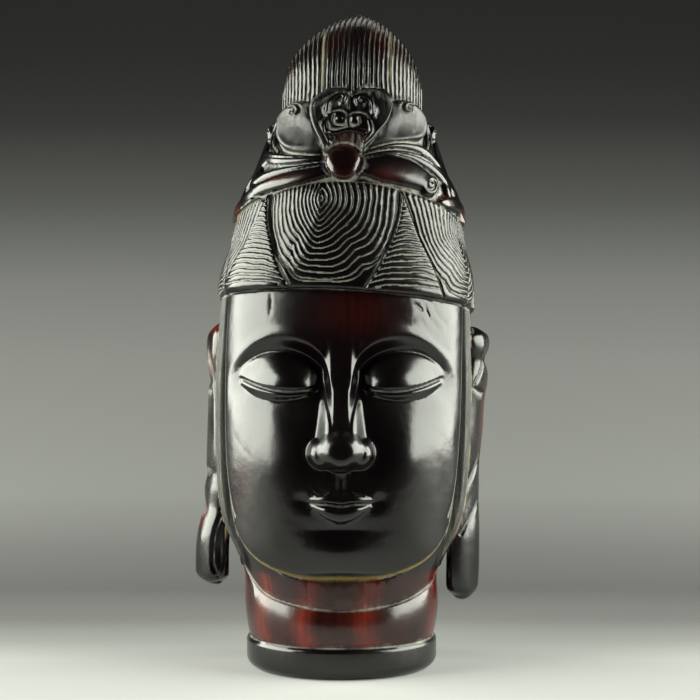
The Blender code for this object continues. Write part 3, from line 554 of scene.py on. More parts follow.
def hair_form(angle, level):
    """Height of the combed hair over the forehead: ringed locks with hatched wedges between them."""
    foot = hairline(angle)
    beside = ease(math.radians(50), math.radians(80), np.abs(angle))
    lift = 0.5 - 0.5 * beside
    form = np.zeros(angle.shape)
    in_lock = np.zeros(angle.shape, bool)
    for i in range(LOCKS):
        lock, inside = lock_form(i, angle, level, foot, lift, beside)
        form = np.where(inside, lock, form)
        in_lock |= inside
    for i in range(LOCKS):
        wedge, edge = wedge_form(i, angle, level, foot, lift)
        form = np.where(in_lock, form, np.where(edge > -0.4, wedge, form + lift))
        form -= 0.9 * groove(edge + 0.15, 0.42) * (level < WEDGE_TOP) * (level > foot + 0.6)
    return form


def nape_form(angle, level):
    """Hair combed straight down behind the ears to the nape, in strands."""
    s = turned(angle, 180) * NAPE_DRUM
    foot = NAPE + 4.0 * (s / 60) ** 2
    lift = ease(-0.6, 0.6, level - foot) * ease(-0.6, 0.6, NAPE_HALF_WIDTH - np.abs(s))
    lift *= ease(-1.5, 1.5, hairline(angle) - level)
    uneven = wander(s, level, 26.0, 31) * 0.5 + wander(s, level, 8.0, 32) * 0.12
    return lift * (1.1 + 0.65 * comb(s / NAPE_PITCH + uneven))


def neck_crease(angle):
    """Level of the fold round the neck, which climbs towards the nape, more steeply on the left."""
    stations = (-180, -110, -80, -54, -28, 0, 38, 66, 110, 180)
    levels = (26, 30.5, 28.6, 19.9, 16.2, 14.5, 17.0, 21.5, 26.5, 26)
    return smooth_curve(np.degrees(angle), stations, levels)


def neck_form(angle, level):
    """A soft swell round the neck under its one fold."""
    crease = neck_crease(angle)
    form = -0.8 * groove(level - crease, 0.4)
    form += 1.5 * np.clip(np.sin(math.pi * np.clip(level / crease, 0, 1)), 0, 1) ** 0.8
    return form * ease(0, 2, level)


def knot_form(x, level):
    """Strands combed straight up over the topknot, front to back."""
    out = np.arcsin(np.clip(x / KNOT_DRUM, -1, 1)) * KNOT_DRUM
    uneven = 0.20 * wander(x, level, 9.0, 41) + 0.08 * wander(x, level, 2.0, 42)
    top = 1 - ease(0.985, 1.0, (level - KNOT_FOOT) / KNOT_HEIGHT)
    deep = 0.62 + 0.3 * wander(x, level * 0, 5.0, 43)
    return (deep * comb(out / STRAND_PITCH + uneven, 0.44) - 0.4) * top


def drum(level):
    """Radius on which distances round the crown are counted at a level."""
    return np.interp(level, (160, 171, 188, 202, 208, 214), (44.5, 40.6, 33.5, 28.8, 27.5, 27.0))


def leaf(s, z, points, widths, height, vein=0.0):
    """A raised leaf along a curve. widths are its half widths, evenly spaced from root to tip."""
    distance, passed = along(s, z, bezier(points), max(widths) + 0.5)
    half = np.interp(passed, np.linspace(0, 1, len(widths)), widths)
    share = np.clip(distance / half, 0, 1)
    return height * (0.6 * cushion(share, 5) + 0.4 * cushion(share, 2)) - vein * groove(distance, 0.5)


def petal(s, z, outline, hook, start, direction):
    """A broad petal with a soft rim, hollowed a little, whose tip curls into a hook at its upper end."""
    inside = depth_inside(s, z, outline)
    height = PETAL_HEIGHT * (1 + 0.03 * (np.abs(s) - 20))
    body = height * (0.74 * cushion(1 - np.clip(inside / 1.5, 0, 1), 2) + 0.26 * ease(0, 3, inside))
    bowl = np.hypot((s - hook[0]) / 9.0, (z - hook[1] + 9.5) / 9.0)
    body -= 0.9 * (1 - ease(0.35, 1.0, bowl)) * ease(1.0, 3.2, inside)
    line, _ = along(s, z, spiral(hook, 3.6, PETAL_TURNS, start, direction), 1.6)
    inner = spiral(hook, 2.7, PETAL_TURNS * 0.9, start + 15 * direction, direction)
    worm, _ = along(s, z, inner, 1.6)
    body += 0.9 * cushion(np.clip(worm, 0, 1), 2) - 0.9 * groove(line, 0.34)
    return np.where(inside > 0, np.maximum(body, 0.01), 0)


def curl(s, z, centre, radius, height, direction, start):
    """A round leaf end with a spiral cut into it."""
    disc = np.hypot(s - centre[0], z - centre[1])
    share = np.clip(disc / radius, 0, 1)
    line, _ = along(s, z, spiral(centre, radius * 0.74, 1.15, start, direction), 2.0)
    cut = 1.1 * groove(line, 0.45) * (disc < radius)
    return height * (0.6 * cushion(share, 5) + 0.4 * cushion(share, 2)) - cut


def ridge(s, z, curve, half, height):
    """A rounded raised line along a curve."""
    distance, _ = along(s, z, curve, half + 0.3)
    return height * cushion(np.clip(distance / half, 0, 1), 2.5)


def plate_lines(s, z, width):
    """The fine lines cut round the curls and the buds of the cloud plate."""
    cuts = np.zeros(s.shape)
    for points in PLATE_LINES:
        distance, _ = along(s, z, through(points), 2.0)
        cuts = np.maximum(cuts, groove(distance, width))
    return cuts


def heart(s, z):
    """The heart-shaped cloud plate over the jewel: a rim round a dark field with curls and two buds."""
    inside = depth_inside(s, z, HEART, HEART_POINTS)
    rim = np.where(s < -0.2, 1.8, 0.8)
    plate = 4.9 * cushion(1 - np.clip(inside / 0.7, 0, 1), 2) - 1.7 * ease(rim, rim + 0.6, inside)
    raised = np.zeros(s.shape)
    for outline in PLATE_PADS:
        pad = 1.3 * cushion(1 - np.clip(depth_inside(s, z, outline) / 2.2, 0, 1), 2)
        raised = np.maximum(raised, pad)
    for points, half, height in PLATE_RIDGES:
        raised = np.maximum(raised, ridge(s, z, through(points), half, height))
    for bud in PLATE_BUDS:
        reach = np.hypot(s - bud[0], z - bud[1]) / BUD_RADIUS
        raised = np.maximum(raised, BUD_RADIUS * cushion(np.clip(reach, 0, 1), 2))
    field = ease(rim + 0.3, rim + 0.9, inside)
    return np.where(inside > 0, plate + (raised - 0.8 * plate_lines(s, z, 0.30)) * field, 0)


def front_leaves(s, z):
    """The leaves, the curls and the petals on both sides of the jewel."""
    for points, widths, height, vein in FRONT_LEAVES:
        yield leaf(s, z, points, widths, height, vein)
    for centre, radius, height in FRONT_CURLS:
        yield curl(s, z, centre, radius, height, 1, 75)
    yield petal(s, z, LEFT_PETAL, LEFT_HOOK, 140, -1)
    yield petal(s, z, RIGHT_PETAL, RIGHT_HOOK, 40, 1)


def back_leaves(s, z, angle):
    """Three plainer curled leaves to a side round the back, and three leaves in its middle."""
    for side in (-1, 1):
        x = s * side
        for turn in BACK_LEAF_ANGLES:
            root = math.radians(turn) * BACK_DRUM
            outer = ((root - 9, 172), (root - 10, 182), (root - 4, 192), (root - 8, 201))
            inner = ((root, 168), (root + 6, 174), (root + 7, 183), (root + 3, 193))
            foot = ((root - 14, 169), (root - 4, 171), (root + 6, 169), (root + 16, 165))
            yield leaf(x, z, outer, (2.4, 5.4, 5.6, 3.6), 3.4)
            yield curl(x, z, (root - 9.4, 199.4), 4.6, 4.2, -1, 120)
            yield leaf(x, z, inner, (3, 4.4, 4.4, 0.8), 3.0, vein=0.6)
            yield leaf(x, z, foot, (2.6, 3.4, 3.4, 2.6), 3.8)
    back = (math.pi - np.abs(angle)) * drum(z)
    yield leaf(back, z, ((0, 164), (0, 180), (0, 194), (0, 208)), (5, 8.4, 7.4, 0.8), 4.0, vein=0.8)
    yield leaf(back, z, ((5, 166), (12, 174), (13, 184), (8, 194)), (3, 4.6, 4.4, 1), 3.2, vein=0.6)


def crown_form(angle, level):
    """Jewel, cloud plate and layered leaves in front, and plainer leaves behind."""
    s = angle * drum(level)
    form = 1.6 * (1 - ease(196, 207, level))
    for leaves in (front_leaves(s, level), back_leaves(s, level, angle)):
        for part in leaves:
            form = np.maximum(form, part)
    plate = heart(s, level)
    form = np.where(plate > 0, plate, form)
    jewel = jewel_reach(s, level)
    form = np.where(jewel < 1.1, np.minimum(form, 2.6), form)
    return np.maximum(form, 4.7 * cushion(np.clip(jewel, 0, 1), 4.4))


def jewel_reach(s, z):
    """0 in the jewel's middle and 1 on its edge."""
    return np.hypot((s - JEWEL[0]) / JEWEL_RADII[0], (z - JEWEL[1]) / JEWEL_RADII[1])


def lid_slit(x):
    """Level of the slit between the lids, x units out from the nose."""
    share = np.clip((x - 9.5) / 28.5, 0, 1)
    return EYE_LEVEL - 3.4 - 2.0 * np.sin(math.pi * share) + 3.6 * share**1.5


def brows_and_eyes(x, z):
    """Arched brows, hollow sockets, full lids and the lowered gaze. x counts from the nose outwards."""
    stations, heights = (3.6, 6, 10, 16, 23, 31, 38, 44), (-12, -4, 0.5, 3.6, 4.6, 2.6, -2.2, -8.5)
    arch = smooth_curve(x, stations, np.array(heights) + BROW)
    below = arch - z
    fade_out = 1 - ease(33, 46, x)
    socket = ease(0, 5.5, below) * (1 - ease(8, 20, below)) * fade_out * ease(2.5, 6, x)
    form = -(4.6 - 1.6 * ease(8, 26, x)) * socket
    form += 0.9 * groove(below + 1.2, 2.4) * fade_out * ease(4, 10, x)
    lid_x, lid_z = (x - 23.5) / 15.5, (z - EYE_LEVEL - 1.2) / 9.2
    form += 4.8 * np.clip(1 - lid_x**2 - lid_z**2, 0, 1) ** 0.75
    above_slit = z - lid_slit(x)
    ends = ease(7.5, 10.5, x) * (1 - ease(37, 40, x))
    form -= 1.4 * groove(above_slit, 0.6) * ends
    form += 0.5 * groove(above_slit + 1.7, 0.8) * ends
    form -= 0.35 * groove(above_slit + 3.6, 1.4) * ends * ease(11, 18, x)
    crease = arch - 7.2 + 2.2 * ease(12, 34, x)
    form -= 0.6 * groove(z - crease, 0.6) * ease(8, 12, x) * (1 - ease(34, 39, x))
    return form


def nose(x, z):
    """A straight bridge with a flat back, a round tip and full wings, run softly into each other."""
    run = np.clip((BROW + 2 - z) / (BROW + 2 - NOSE_BASE), 0, 1)
    back = 3.4 + 1.5 * run**2
    flank = 3.0 + 3.6 * run
    above_base = z - NOSE_BASE
    form = (1.2 + 9.6 * run**1.25) * (1 - ease(0, 1, (x - back) / flank))
    form *= ease(0, 4.6, above_base) * ease(0, 16, BROW + 9 - z)
    tip = 12.6 - 3.4 * ((x / 7.0) ** 2 + ((above_base - 6.0) / 6.2) ** 2) ** 2
    wing = 7.8 - 3.8 * (((x - 6.9) / 4.8) ** 2 + ((above_base - 4.6) / 5.0) ** 2) ** 2
    form = blend(blend(form, tip, 3.6), wing, 3.6)
    form = blend(form, np.zeros(form.shape), 1.0)
    return form - 0.9 * groove(np.hypot((x - 3.8) * 0.8, above_base - 0.2), 1.5)


def lip_line(x):
    """Level of the line between the lips, x units out from the middle."""
    share = np.clip(x / MOUTH_HALF, 0, 1)
    return MOUTH + 1.2 * share**2 - 0.5 * np.exp(-((x / 2.6) ** 2))


def mouth(x, z):
    """Small full lips with a cupid's bow and tucked corners."""
    share = np.clip(x / MOUTH_HALF, 0, 1)
    line = lip_line(x)
    bow = 4.9 * (1 - share**1.6) - 0.9 * np.exp(-((x / 2.2) ** 2)) + 0.15
    upper = np.clip(1 - ((z - line) / bow - 0.42) ** 2 / 0.42, 0, 1) ** 0.5 * (z > line)
    full = 6.0 * (1 - np.clip(x / 11.8, 0, 1) ** 2.2) + 0.2
    lower = np.clip(1 - ((line - z) / full - 0.45) ** 2 / 0.36, 0, 1) ** 0.5 * (z <= line)
    form = 2.3 * upper * (1 - ease(5.0, 13.5, x)) + 2.9 * lower * (1 - ease(4.5, 12.0, x))
    form -= 1.3 * groove(z - line, 0.8) * (1 - ease(6.0, 14.5, x))
    form -= 0.9 * groove(np.hypot(x - 14.0, (z - line) * 1.2), 3.2)
    above_lips = ease(MOUTH + 4.5, MOUTH + 6.5, z) * (1 - ease(NOSE_BASE - 3, NOSE_BASE, z))
    return form - 0.9 * groove(x, 1.7) * above_lips


def face_form(x, z):
    """Everything on the face, as a height towards the front."""
    out = np.abs(x)
    form = 2.6 * hill(x, z, (0, MOUTH + 1), (19, 13))
    form += 2.8 * hill(out, z, (25, NOSE_BASE + 3), (15, 17))
    form += 2.4 * hill(x, z, (0, CHIN + 10), (11.5, 8.0))
    form -= 1.1 * hill(x, z, (0, CHIN + 19.5), (10, 2.6))
    return form + brows_and_eyes(out, z) + nose(out, z) + mouth(out, z)


def outward(points):
    """Unit vectors square to a net of points, pointing out of it."""
    across = np.roll(points, -1, 1) - np.roll(points, 1, 1)
    square = np.cross(across, np.gradient(points, axis=0))
    return square / np.maximum(np.linalg.norm(square, axis=2, keepdims=True), 1e-12)


def fold(x, z, points, width):
    """A soft cut along a smooth line."""
    distance, _ = along(x, z, through(points), 3 * width)
    return groove(distance, width)


def right_ear_carving(x, z):
    """Relief, wax, a highlight painted along two folds, and glow of the right ear. x is counted from its
    middle, as it shows from the front.
    """
    relief = -2.6 * hill(x, z, (-3.4, 109), (1.9, 10)) + 0.9 * hill(x, z, (2.2, 115), (1.6, 6))
    relief -= 1.1 * fold(x, z, ((5.2, 110.5), (2.4, 105), (-0.4, 99.5)), 0.5)
    relief -= 1.0 * fold(x, z, ((-0.6, 98.6), (1.4, 97.2), (4.2, 96.0)), 0.5)
    wax = 0.55 * hill(x, z, (-3.6, 106), (1.3, 11)) * (1 + 0.6 * wander(x, z, 1.2, 81))
    wax = np.maximum(wax, 0.9 * fold(x, z, ((0.2, 97.6), (1.6, 96.2), (3.4, 95.4)), 0.6))
    # Pale lines painted along the two lower folds stand in for their thin highlights.
    for points, painted_highlight in (
        (((5.4, 72), (2.6, 64), (-1.6, 56)), 0.55),
        (((5.6, 52.5), (2.4, 46.5), (-1.6, 40)), 0.5),
    ):
        relief -= 0.9 * fold(x, z, points, 0.7)
        wax = np.maximum(wax, painted_highlight * fold(x, z, points, 0.35))
    film = 0.09 * ease(48, 60, z) * (0.8 + 0.5 * wander(x, z, 5.0, 82))
    return relief, np.maximum(wax, film), 0.45 * hill(x, z, (4.8, 86), (1.2, 9))


def left_ear_carving(x, z):
    """Relief, wax and glow of the left ear. x is counted from its middle, as it shows from the front."""
    relief = -1.4 * hill(x, z, (-2.6, 108), (1.4, 10)) + 0.5 * hill(x, z, (1.5, 113), (1.4, 6))
    relief -= 2.0 * hill(x, z, (-3.6, 34), (2.8, 12))
    for points, depth, width in (
        (((5.0, 114), (3.0, 106), (2.2, 100), (0.6, 92)), 0.9, 0.45),
        (((5.4, 98.5), (3.4, 96.6), (5.4, 94.6)), 0.7, 0.4),
        (((5.4, 66.4), (3.2, 65), (4.6, 62.4)), 0.7, 0.4),
        (((0.6, 92), (0.4, 78), (-0.6, 62), (-2.0, 50)), 0.5, 0.6),
        (((-2.0, 47), (-0.4, 39), (-0.3, 29), (-3.0, 22)), 0.6, 0.8),
    ):
        relief -= depth * fold(x, z, points, width)
    bump = 0.8 * hill(x, z, (4.6, 108), (1.5, 5)) * (0.8 + 0.6 * wander(x, z, 1.5, 83))
    knots = 0.7 * hill(x, z, (4.6, 96.4), (1.2, 2)) + 0.5 * hill(x, z, (4.6, 64.6), (1.2, 2))
    knots += 0.6 * hill(x, z, (5.6, 49), (1.0, 2.4))
    film = 0.11 * ease(44, 56, z) * (0.8 + 0.5 * wander(x, z, 5.0, 84))
    glow = 0.6 * ease(119, 122, z) + 0.5 * hill(x, z, (4.8, 108), (2, 6))
    glow += 0.55 * hill(x, z, (5.4, 47), (2, 4))
    return relief, np.maximum(np.maximum(bump, knots), film), glow


def blurred(values, reach=1):
    """The values evened out over reach places each way, up the rows and round the columns."""
    span = 2 * reach + 1
    padded = np.pad(values, ((reach + 1, reach), (0, 0)), mode="edge").cumsum(0)
    evened = (padded[span:] - padded[:-span]) / span
    padded = np.pad(evened, ((0, 0), (reach + 1, reach)), mode="wrap").cumsum(1)
    return (padded[:, span:] - padded[:, :-span]) / span


def hollowness(relief, most=0.6):
    """How far each place lies under those round it, where no single neighbour counts for more than most."""
    total = np.zeros(relief.shape)
    for rows, columns in ((0, 1), (0, 2), (1, 0), (2, 0), (1, 1), (1, -1)):
        for sign in (-1, 1):
            other = np.roll(relief, (sign * rows, sign * columns), (0, 1))
            total += np.clip(other - relief, -most, most) / 12
    return total


def head_grid():
    """Angle and level of each point of the net, which is finer where the carving is fine."""
    def row_gap(level):
        carved = np.where(level > HAIRLINE - 9, 0.30, 0.44)
        return np.where(level > KNOT_FOOT + 6, 0.10 + 0.36 * knot_share(level), carved)

    def column_gap(angle):
        return 1 + 0.9 * ease(1.7, 2.4, np.abs(angle))

    levels = spaced(-RING_HEIGHT, TOP, ROWS, row_gap)
    angles = spaced(-math.pi, math.pi, COLUMNS, column_gap)[:-1]
    return np.meshgrid(angles, levels)


def face_cover(edge, level):
    """1 where the face's own surface holds, rounded off to 0 at its edge and under the hair."""
    rounded = np.sqrt(np.clip(1 - (1 - np.clip(edge / 4.0, 0, 1)) ** 2, 0, 1))
    return rounded * (1 - ease(HAIRLINE + 2, HAIRLINE + 20, level))


def hair_ledge(angle, level):
    """How far the hair's lower edge stands out over the ears."""
    turn = np.abs(angle)
    fade = 1 - ease(HAIRLINE + 2, HAIRLINE + 20, level)
    past_ear = 1 - ease(math.radians(115), math.radians(150), turn)
    return 3.0 * fade * ease(math.radians(60), math.radians(76), turn) * past_ear


def plain_radius(angle, level, edge, rim, under_crown, temple):
    """Radius of the head before hair, crown and features are carved on it."""
    body = body_radius(angle, level) + neck_form(angle, level) * (level < CHIN + 12) + temple
    body += hair_ledge(angle, level) * rim
    radius = body + (mask_radius(angle, level) - body) * face_cover(edge, level)
    beside = ease(CHIN - 6, CHIN - 3, level) * (1 - ease(HAIRLINE - 6, HAIRLINE - 2, level))
    radius -= 0.9 * groove(edge + 0.5, 0.6) * beside * (np.cos(angle) > 0)
    radius -= 0.35 * groove(level - hairline(angle) + 1.0, 0.45)
    radius = np.where(level <= 0, ring_radius(angle, level), radius)
    return radius + rim * under_crown * 0.9


def closed_net(net, finish):
    """The net with rows that close its flat underside, and its last row drawn to one point."""
    centre = np.array((drift(np.zeros(1))[0], 0.0, -RING_HEIGHT))
    floor = [centre + (net[:1] - centre) * share for share in (0, 0.25, 0.5, 0.75, 0.92)]
    net = np.concatenate(floor + [net])
    net[-1] = net[-1].mean(0)
    return net, np.concatenate([np.zeros((len(floor),) + finish.shape[1:]), finish])


def head_net():
    """Points of the carved head and their finish: wax in the cuts, red glow and amber tint."""
    angle, level = head_grid()
    edge = inside_mask(angle, level)
    rim = ease(-0.6, 0.6, level - hairline(angle))
    under_crown = ease(-0.8, 0.8, crown_foot(angle) - level)
    temple = temple_form(angle, level) * (1 - rim)
    radius = plain_radius(angle, level, edge, rim, under_crown, temple)
    net = np.stack([drift(level) + radius * np.sin(angle), -radius * np.cos(angle), level], 2)

    hair = hair_form(angle, level) * rim * under_crown
    crown = crown_form(angle, level) * (1 - under_crown)
    strands = knot_form(net[:, :, 0] - drift(level), level)
    bare = (1 - under_crown) * ease(0.0, 0.5, 0.5 - crown) * ease(-1, 1, level - 203)
    nape = nape_form(angle, level) * (np.abs(angle) > TEMPLE_BACK - 0.1)
    form = hair + crown + strands * bare + nape
    net += outward(net) * form[:, :, None]
    x = net[:, :, 0]
    on_face = face_cover(edge, level) * (1 - rim)
    features = face_form(x, level) * np.clip(np.cos(angle), 0, 1) ** 0.5 * on_face * ease(0, 5, edge)
    scars = marks(x, level) * (1 - rim) * (np.abs(angle) < FACE_REACH)
    net[:, :, 1] -= features - scars

    combed = np.maximum(rim * under_crown, bare)
    combed = np.maximum(combed, (np.maximum(nape, temple) > 0.1) * 1.0)
    yellow = knot_wax(x - drift(level), level) * bare
    in_front = (np.abs(angle) < 2) & (level > 174)
    wax = np.zeros(x.shape)
    for layer in (
        cut_wax(angle, level, radius + form, combed),
        line_wax(angle, level, edge),
        face_wax(x, level) * on_face,
        crown_wax(angle * drum(level), level) * in_front,
        yellow,
        TEMPLE_FILM * (temple > 0.4),
        0.7 * ease(0.1, 0.3, scars),
    ):
        wax = np.maximum(wax, layer)
    amber = np.maximum(amber_tint(angle, level, edge), yellow)
    return closed_net(net, np.stack([np.clip(wax, 0, 1), head_glow(angle, level), amber], 2))


def cut_wax(angle, level, surface, combed):
    """Wax packed in the cuts of the hair and the crown, and left out where the cuts are broad and clean."""
    hollow = hollowness(surface)
    fine = ease(0.045, 0.125, hollow)
    broad = 0.85 * ease(0.05, 0.14, blurred(hollow))
    wax = fine * combed + broad * (1 - combed)
    wax *= 1 - ease(CHIN - 1, CHIN - 5, level)
    s = angle * drum(level)
    wax *= 1 - 0.8 * hill(s, level, (-1, 192.5), (6.5, 2.0))
    wax *= 1 - 0.7 * hill(s, level, (-0.5, 203.5), (11, 8))
    ledge = level - hairline(angle)
    return wax * (1 - 0.85 * ease(-4.5, -3.0, ledge) * (1 - ease(-0.3, 0.3, ledge)))


def line_wax(angle, level, edge):
    """Wax drawn as lines: at the crown's foot, under the hair, along the jaw and in the neck's creases."""
    round_it = angle * FACE_DRUM
    patchy = 0.62 + 0.4 * wander(round_it, level, 5.0, 61)
    uneven = 0.72 + 0.4 * wander(round_it, level, 4.0, 62)
    wax = 0.85 * uneven * groove(level - hairline(angle) + 1.0, 0.45)
    wax = np.maximum(wax, uneven * groove(level - crown_foot(angle) - 0.3, 0.55))
    crease = level - neck_crease(angle)
    wax = np.maximum(wax, patchy * np.maximum(groove(crease, 0.45), 0.42 * groove(crease - 0.5, 1.2)))
    foot = np.maximum(groove(level - 0.3, 0.4), 0.42 * groove(level - 1.2, 1.2)) * (level > -0.3)
    wax = np.maximum(wax, (0.45 + 0.5 * wander(round_it, level, 2.6, 66)) * foot)
    return np.maximum(wax, jaw_line(angle, level, edge) * (0.95 + 0.2 * wander(round_it, level, 7.0, 63)))


def jaw_line(angle, level, edge):
    """1 along the lip of the jaw and up the face's sides, where it lies further in so that it shows."""
    turn = np.abs(np.degrees(angle))
    inset = 0.35 + 2.0 * ease(12, 42, turn)
    width = 1.45 - 0.4 * ease(8, 40, turn) - 0.6 * ease(CHIN + 12, CHIN + 30, level)
    below_hair = 1 - ease(HAIRLINE - 9, HAIRLINE - 6, level)
    return groove(edge - inset, width) * ease(CHIN - 6, CHIN - 3, level) * below_hair * (turn < 90)


def crown_wax(s, level):
    """Wax in the lines of the cloud plate, round the jewel, and in rough patches on the petals."""
    on_plate = depth_inside(s, level, HEART, HEART_POINTS)
    wax = 0.85 * plate_lines(s, level, 0.42) * (on_plate > 1.0)
    wax = np.maximum(wax, 0.14 * (on_plate > 0.2) * (on_plate < 1.9) * (s < -2))
    on_petals = np.maximum(depth_inside(s, level, LEFT_PETAL), depth_inside(s, level, RIGHT_PETAL))
    rough = 0.15 + 0.34 * ease(0.45, 1.0, wander(s, level, 2.2, 64))
    wax = np.maximum(wax, rough * ease(0.3, 1.6, on_petals))
    ring = groove(jewel_reach(s, level) - 1.05, 0.06)
    return np.maximum(wax, ring * (0.85 + 0.3 * wander(s, level, 3.0, 65)))


def face_wax(x, z):
    """A little wax left between the lids and between the lips."""
    out = np.abs(x)
    lids = 0.6 * groove(z - lid_slit(out), 0.4) * ease(9, 12, out) * (1 - ease(35, 39, out))
    lips = 0.5 * groove(z - lip_line(out), 0.4) * (1 - ease(8, 13, out))
    return np.maximum(lids, lips)


def knot_wax(x, level):
    """Two strands of the topknot that old wax has turned yellowish."""
    tall = ease(212, 218, level) * (1 - ease(236, 241, level))
    return 0.8 * np.maximum(groove(x + 11.5, 0.55), groove(x - 14.3, 0.55)) * tall


def amber_tint(angle, level, edge):
    """Where wax and horn are yellow: along the jaw, on one cheek, and at the crown's thin ends."""
    s = angle * drum(level)
    jaw = ease(0.05, 0.4, jaw_line(angle, level, edge))
    tint = jaw * (1 - ease(CHIN + 6, CHIN + 26, level))
    for centre, spread in (((-53, 165), (5, 4)), ((57, 164), (5, 4)), ((40, 171), (4, 3))):
        tint = tint + hill(s, level, centre, spread)
    return np.clip(tint + hill(angle * FACE_DRUM, level, CHEEK_SPOT, (2.0, 4.5)), 0, 1)


def head_glow(angle, level):
    """Where light shows red through thin or clear horn: jewel, leaf ends, topknot, neck, brow, cheeks."""
    s = angle * drum(level)
    round_it = angle * FACE_DRUM
    jewel = jewel_reach(s, level)
    glow = 0.18 * (1 - ease(0.9, 1.05, jewel)) * (0.1 + 0.9 * ease(0.5, 1.0, jewel))
    ends = hill(s, level, (-53, 166), (3.6, 3.0)) + hill(s, level, (57, 164.5), (3.2, 2.6))
    ends += 0.5 * hill(s, level, (39, 171.6), (3, 1.6))
    glow = np.maximum(glow, 0.55 * np.clip(ends, 0, 1))
    for x, strength, centre, spread in (
        (s, 0.5, (-1, 192.6), (4.5, 1.3)),
        (s, 0.22, (-27, 177), (8, 1.6)),
        (s, 0.20, (14, 178), (6, 2.4)),
        (round_it, 0.35, CHEEK_SPOT, (1.2, 3.4)),
    ):
        glow = np.maximum(glow, strength * hill(x, level, centre, spread))
    knot = ease(KNOT_FOOT, KNOT_FOOT + 10, level) * ease(0.1, 0.9, wander(s, level, 11.0, 73))
    glow = np.maximum(glow, 0.08 * knot)
    glow = np.maximum(glow, neck_glow(angle, level))
    brow = hill(round_it, level, (4, 128), (15, 8)) + 0.7 * hill(round_it, level, (-38, 70), (5, 22))
    return np.maximum(glow, 0.16 * np.clip(brow, 0, 1) * (level < HAIRLINE))


def neck_glow(angle, level):
    """A faint red all over the neck, with brighter streaks down it."""
    clear = 0.8 + 0.4 * wander(angle * NECK_DRUM, level, 7.0, 71)
    neck = ease(CHIN + 1, CHIN - 1, level) * (level > 0.5) * clear
    degrees = np.degrees(angle) + 3.0 * wander(level, level * 0, 5.0, 72)
    glow = np.zeros(angle.shape)
    for centre, width, strength in NECK_STREAKS:
        streak = 0.16 + strength * np.exp(-((degrees - centre) / width) ** 2)
        glow = np.maximum(glow, streak * neck)
    return glow


def marks(x, level):
    """Small marks of age on the brow and cheek, as shallow cuts."""
    cut = np.zeros(x.shape)
    for points, width, depth in AGE_MARKS:
        distance, _ = along(x, level, through(points, 14), 2.5)
        cut = np.maximum(cut, depth * groove(distance, width))
    return cut


def net_mesh(name, points, finish):
    """A closed mesh over a net whose columns meet, with its finish kept at its points."""
    rows, columns = points.shape[0] - 1, points.shape[1]
    bm = bmesh.new()
    bmesh.ops.create_grid(bm, x_segments=columns, y_segments=rows, size=0.5)
    mesh = bpy.data.meshes.new(name)
    bm.to_mesh(mesh)
    bm.free()
    flat = np.empty(len(mesh.vertices) * 3, np.float32)
    mesh.vertices.foreach_get("co", flat)
    flat = flat.reshape(-1, 3)
    column = np.rint((flat[:, 0] + 0.5) * columns).astype(int) % columns
    row = np.rint((flat[:, 1] + 0.5) * rows).astype(int)
    mesh.vertices.foreach_set("co", points[row, column].astype(np.float32).ravel())
    kept = mesh.attributes.new("finish", "FLOAT_COLOR", "POINT")
    colour = np.concatenate([finish[row, column], np.ones((len(row), 1))], 1)
    kept.data.foreach_set("color", colour.astype(np.float32).ravel())
    bm = bmesh.new()
    bm.from_mesh(mesh)
    bmesh.ops.remove_doubles(bm, verts=bm.verts, dist=1e-7)
    bmesh.ops.recalc_face_normals(bm, faces=bm.faces)
    bmesh.ops.triangulate(bm, faces=bm.faces)
    bm.to_mesh(mesh)
    bm.free()
    return mesh


def placed(points):
    """Figure units to metres in the frame."""
    return points * UNIT + np.array((0, 0, RING_HEIGHT * UNIT))


def ear_outline(side):
    """Levels down one ear, and how far from the middle its outer and inner edge show at each."""
    far_levels, far, near_levels, near = RIGHT_EAR if side > 0 else LEFT_EAR
    bottom, top = far_levels[0], far_levels[-1]
    down = np.cos(np.linspace(0, math.pi, EAR_ROWS + 1))[:, None]
    level = (top + bottom) / 2 + (top - bottom) / 2 * down
    return level, smooth_curve(level, far_levels, far), smooth_curve(level, near_levels, near)


def ear_net(side):
    """One long ear, from its rolled top to the heavy lobe that hangs clear of the neck, and its finish."""
    level, far, near = ear_outline(side)
    t = (level[0] - level) / (level[0] - level[-1])
    turn = np.linspace(0, 2 * math.pi, EAR_COLUMNS, endpoint=False)[None, :]
    cap = np.sqrt(np.clip(1 - (1 - np.clip(np.minimum(t * 16, (1 - t) * 20), 0, 1)) ** 2, 0, 1))
    splay = np.radians(smooth_curve(t, (0, 0.4, 0.8, 1), (24, 24, 36, 38)))
    thick = smooth_curve(t, (0, 0.12, 0.3, 0.6, 0.8, 1), (4.0, 4.4, 3.6, 3.6, 5.0, 5.0))
    shown = (far - near) / 2
    half = np.sqrt(np.maximum(shown**2 - (thick * np.cos(splay)) ** 2, 9)) / np.sin(splay)
    half = np.minimum(half, smooth_curve(t, (0, 0.2, 0.5, 0.75, 1), (12.0, 13.5, 11.0, 9.5, 9.5)))
    back, out = np.cos(turn), np.sin(turn)
    fore_aft = half * cap * np.sign(back) * np.abs(back) ** 0.9
    sideways = thick * cap * out
    shown_at = fore_aft * np.sin(splay) + sideways * np.cos(splay)
    x = side * ((far + near) / 2 + shown_at)
    y = EAR_MIDDLE + fore_aft * np.cos(splay) - sideways * np.sin(splay)
    net = np.stack([x, y, level + 0 * x], 2)
    facing = np.sin(turn - np.arctan2(thick * np.cos(splay), half * np.sin(splay)))
    front = np.clip(facing, 0, 1) ** 0.3 * (facing > 0) * cap
    net, finish = carved_ear(side, net, shown_at, front)
    return (net, finish) if side > 0 else (net[:, ::-1], finish[:, ::-1])


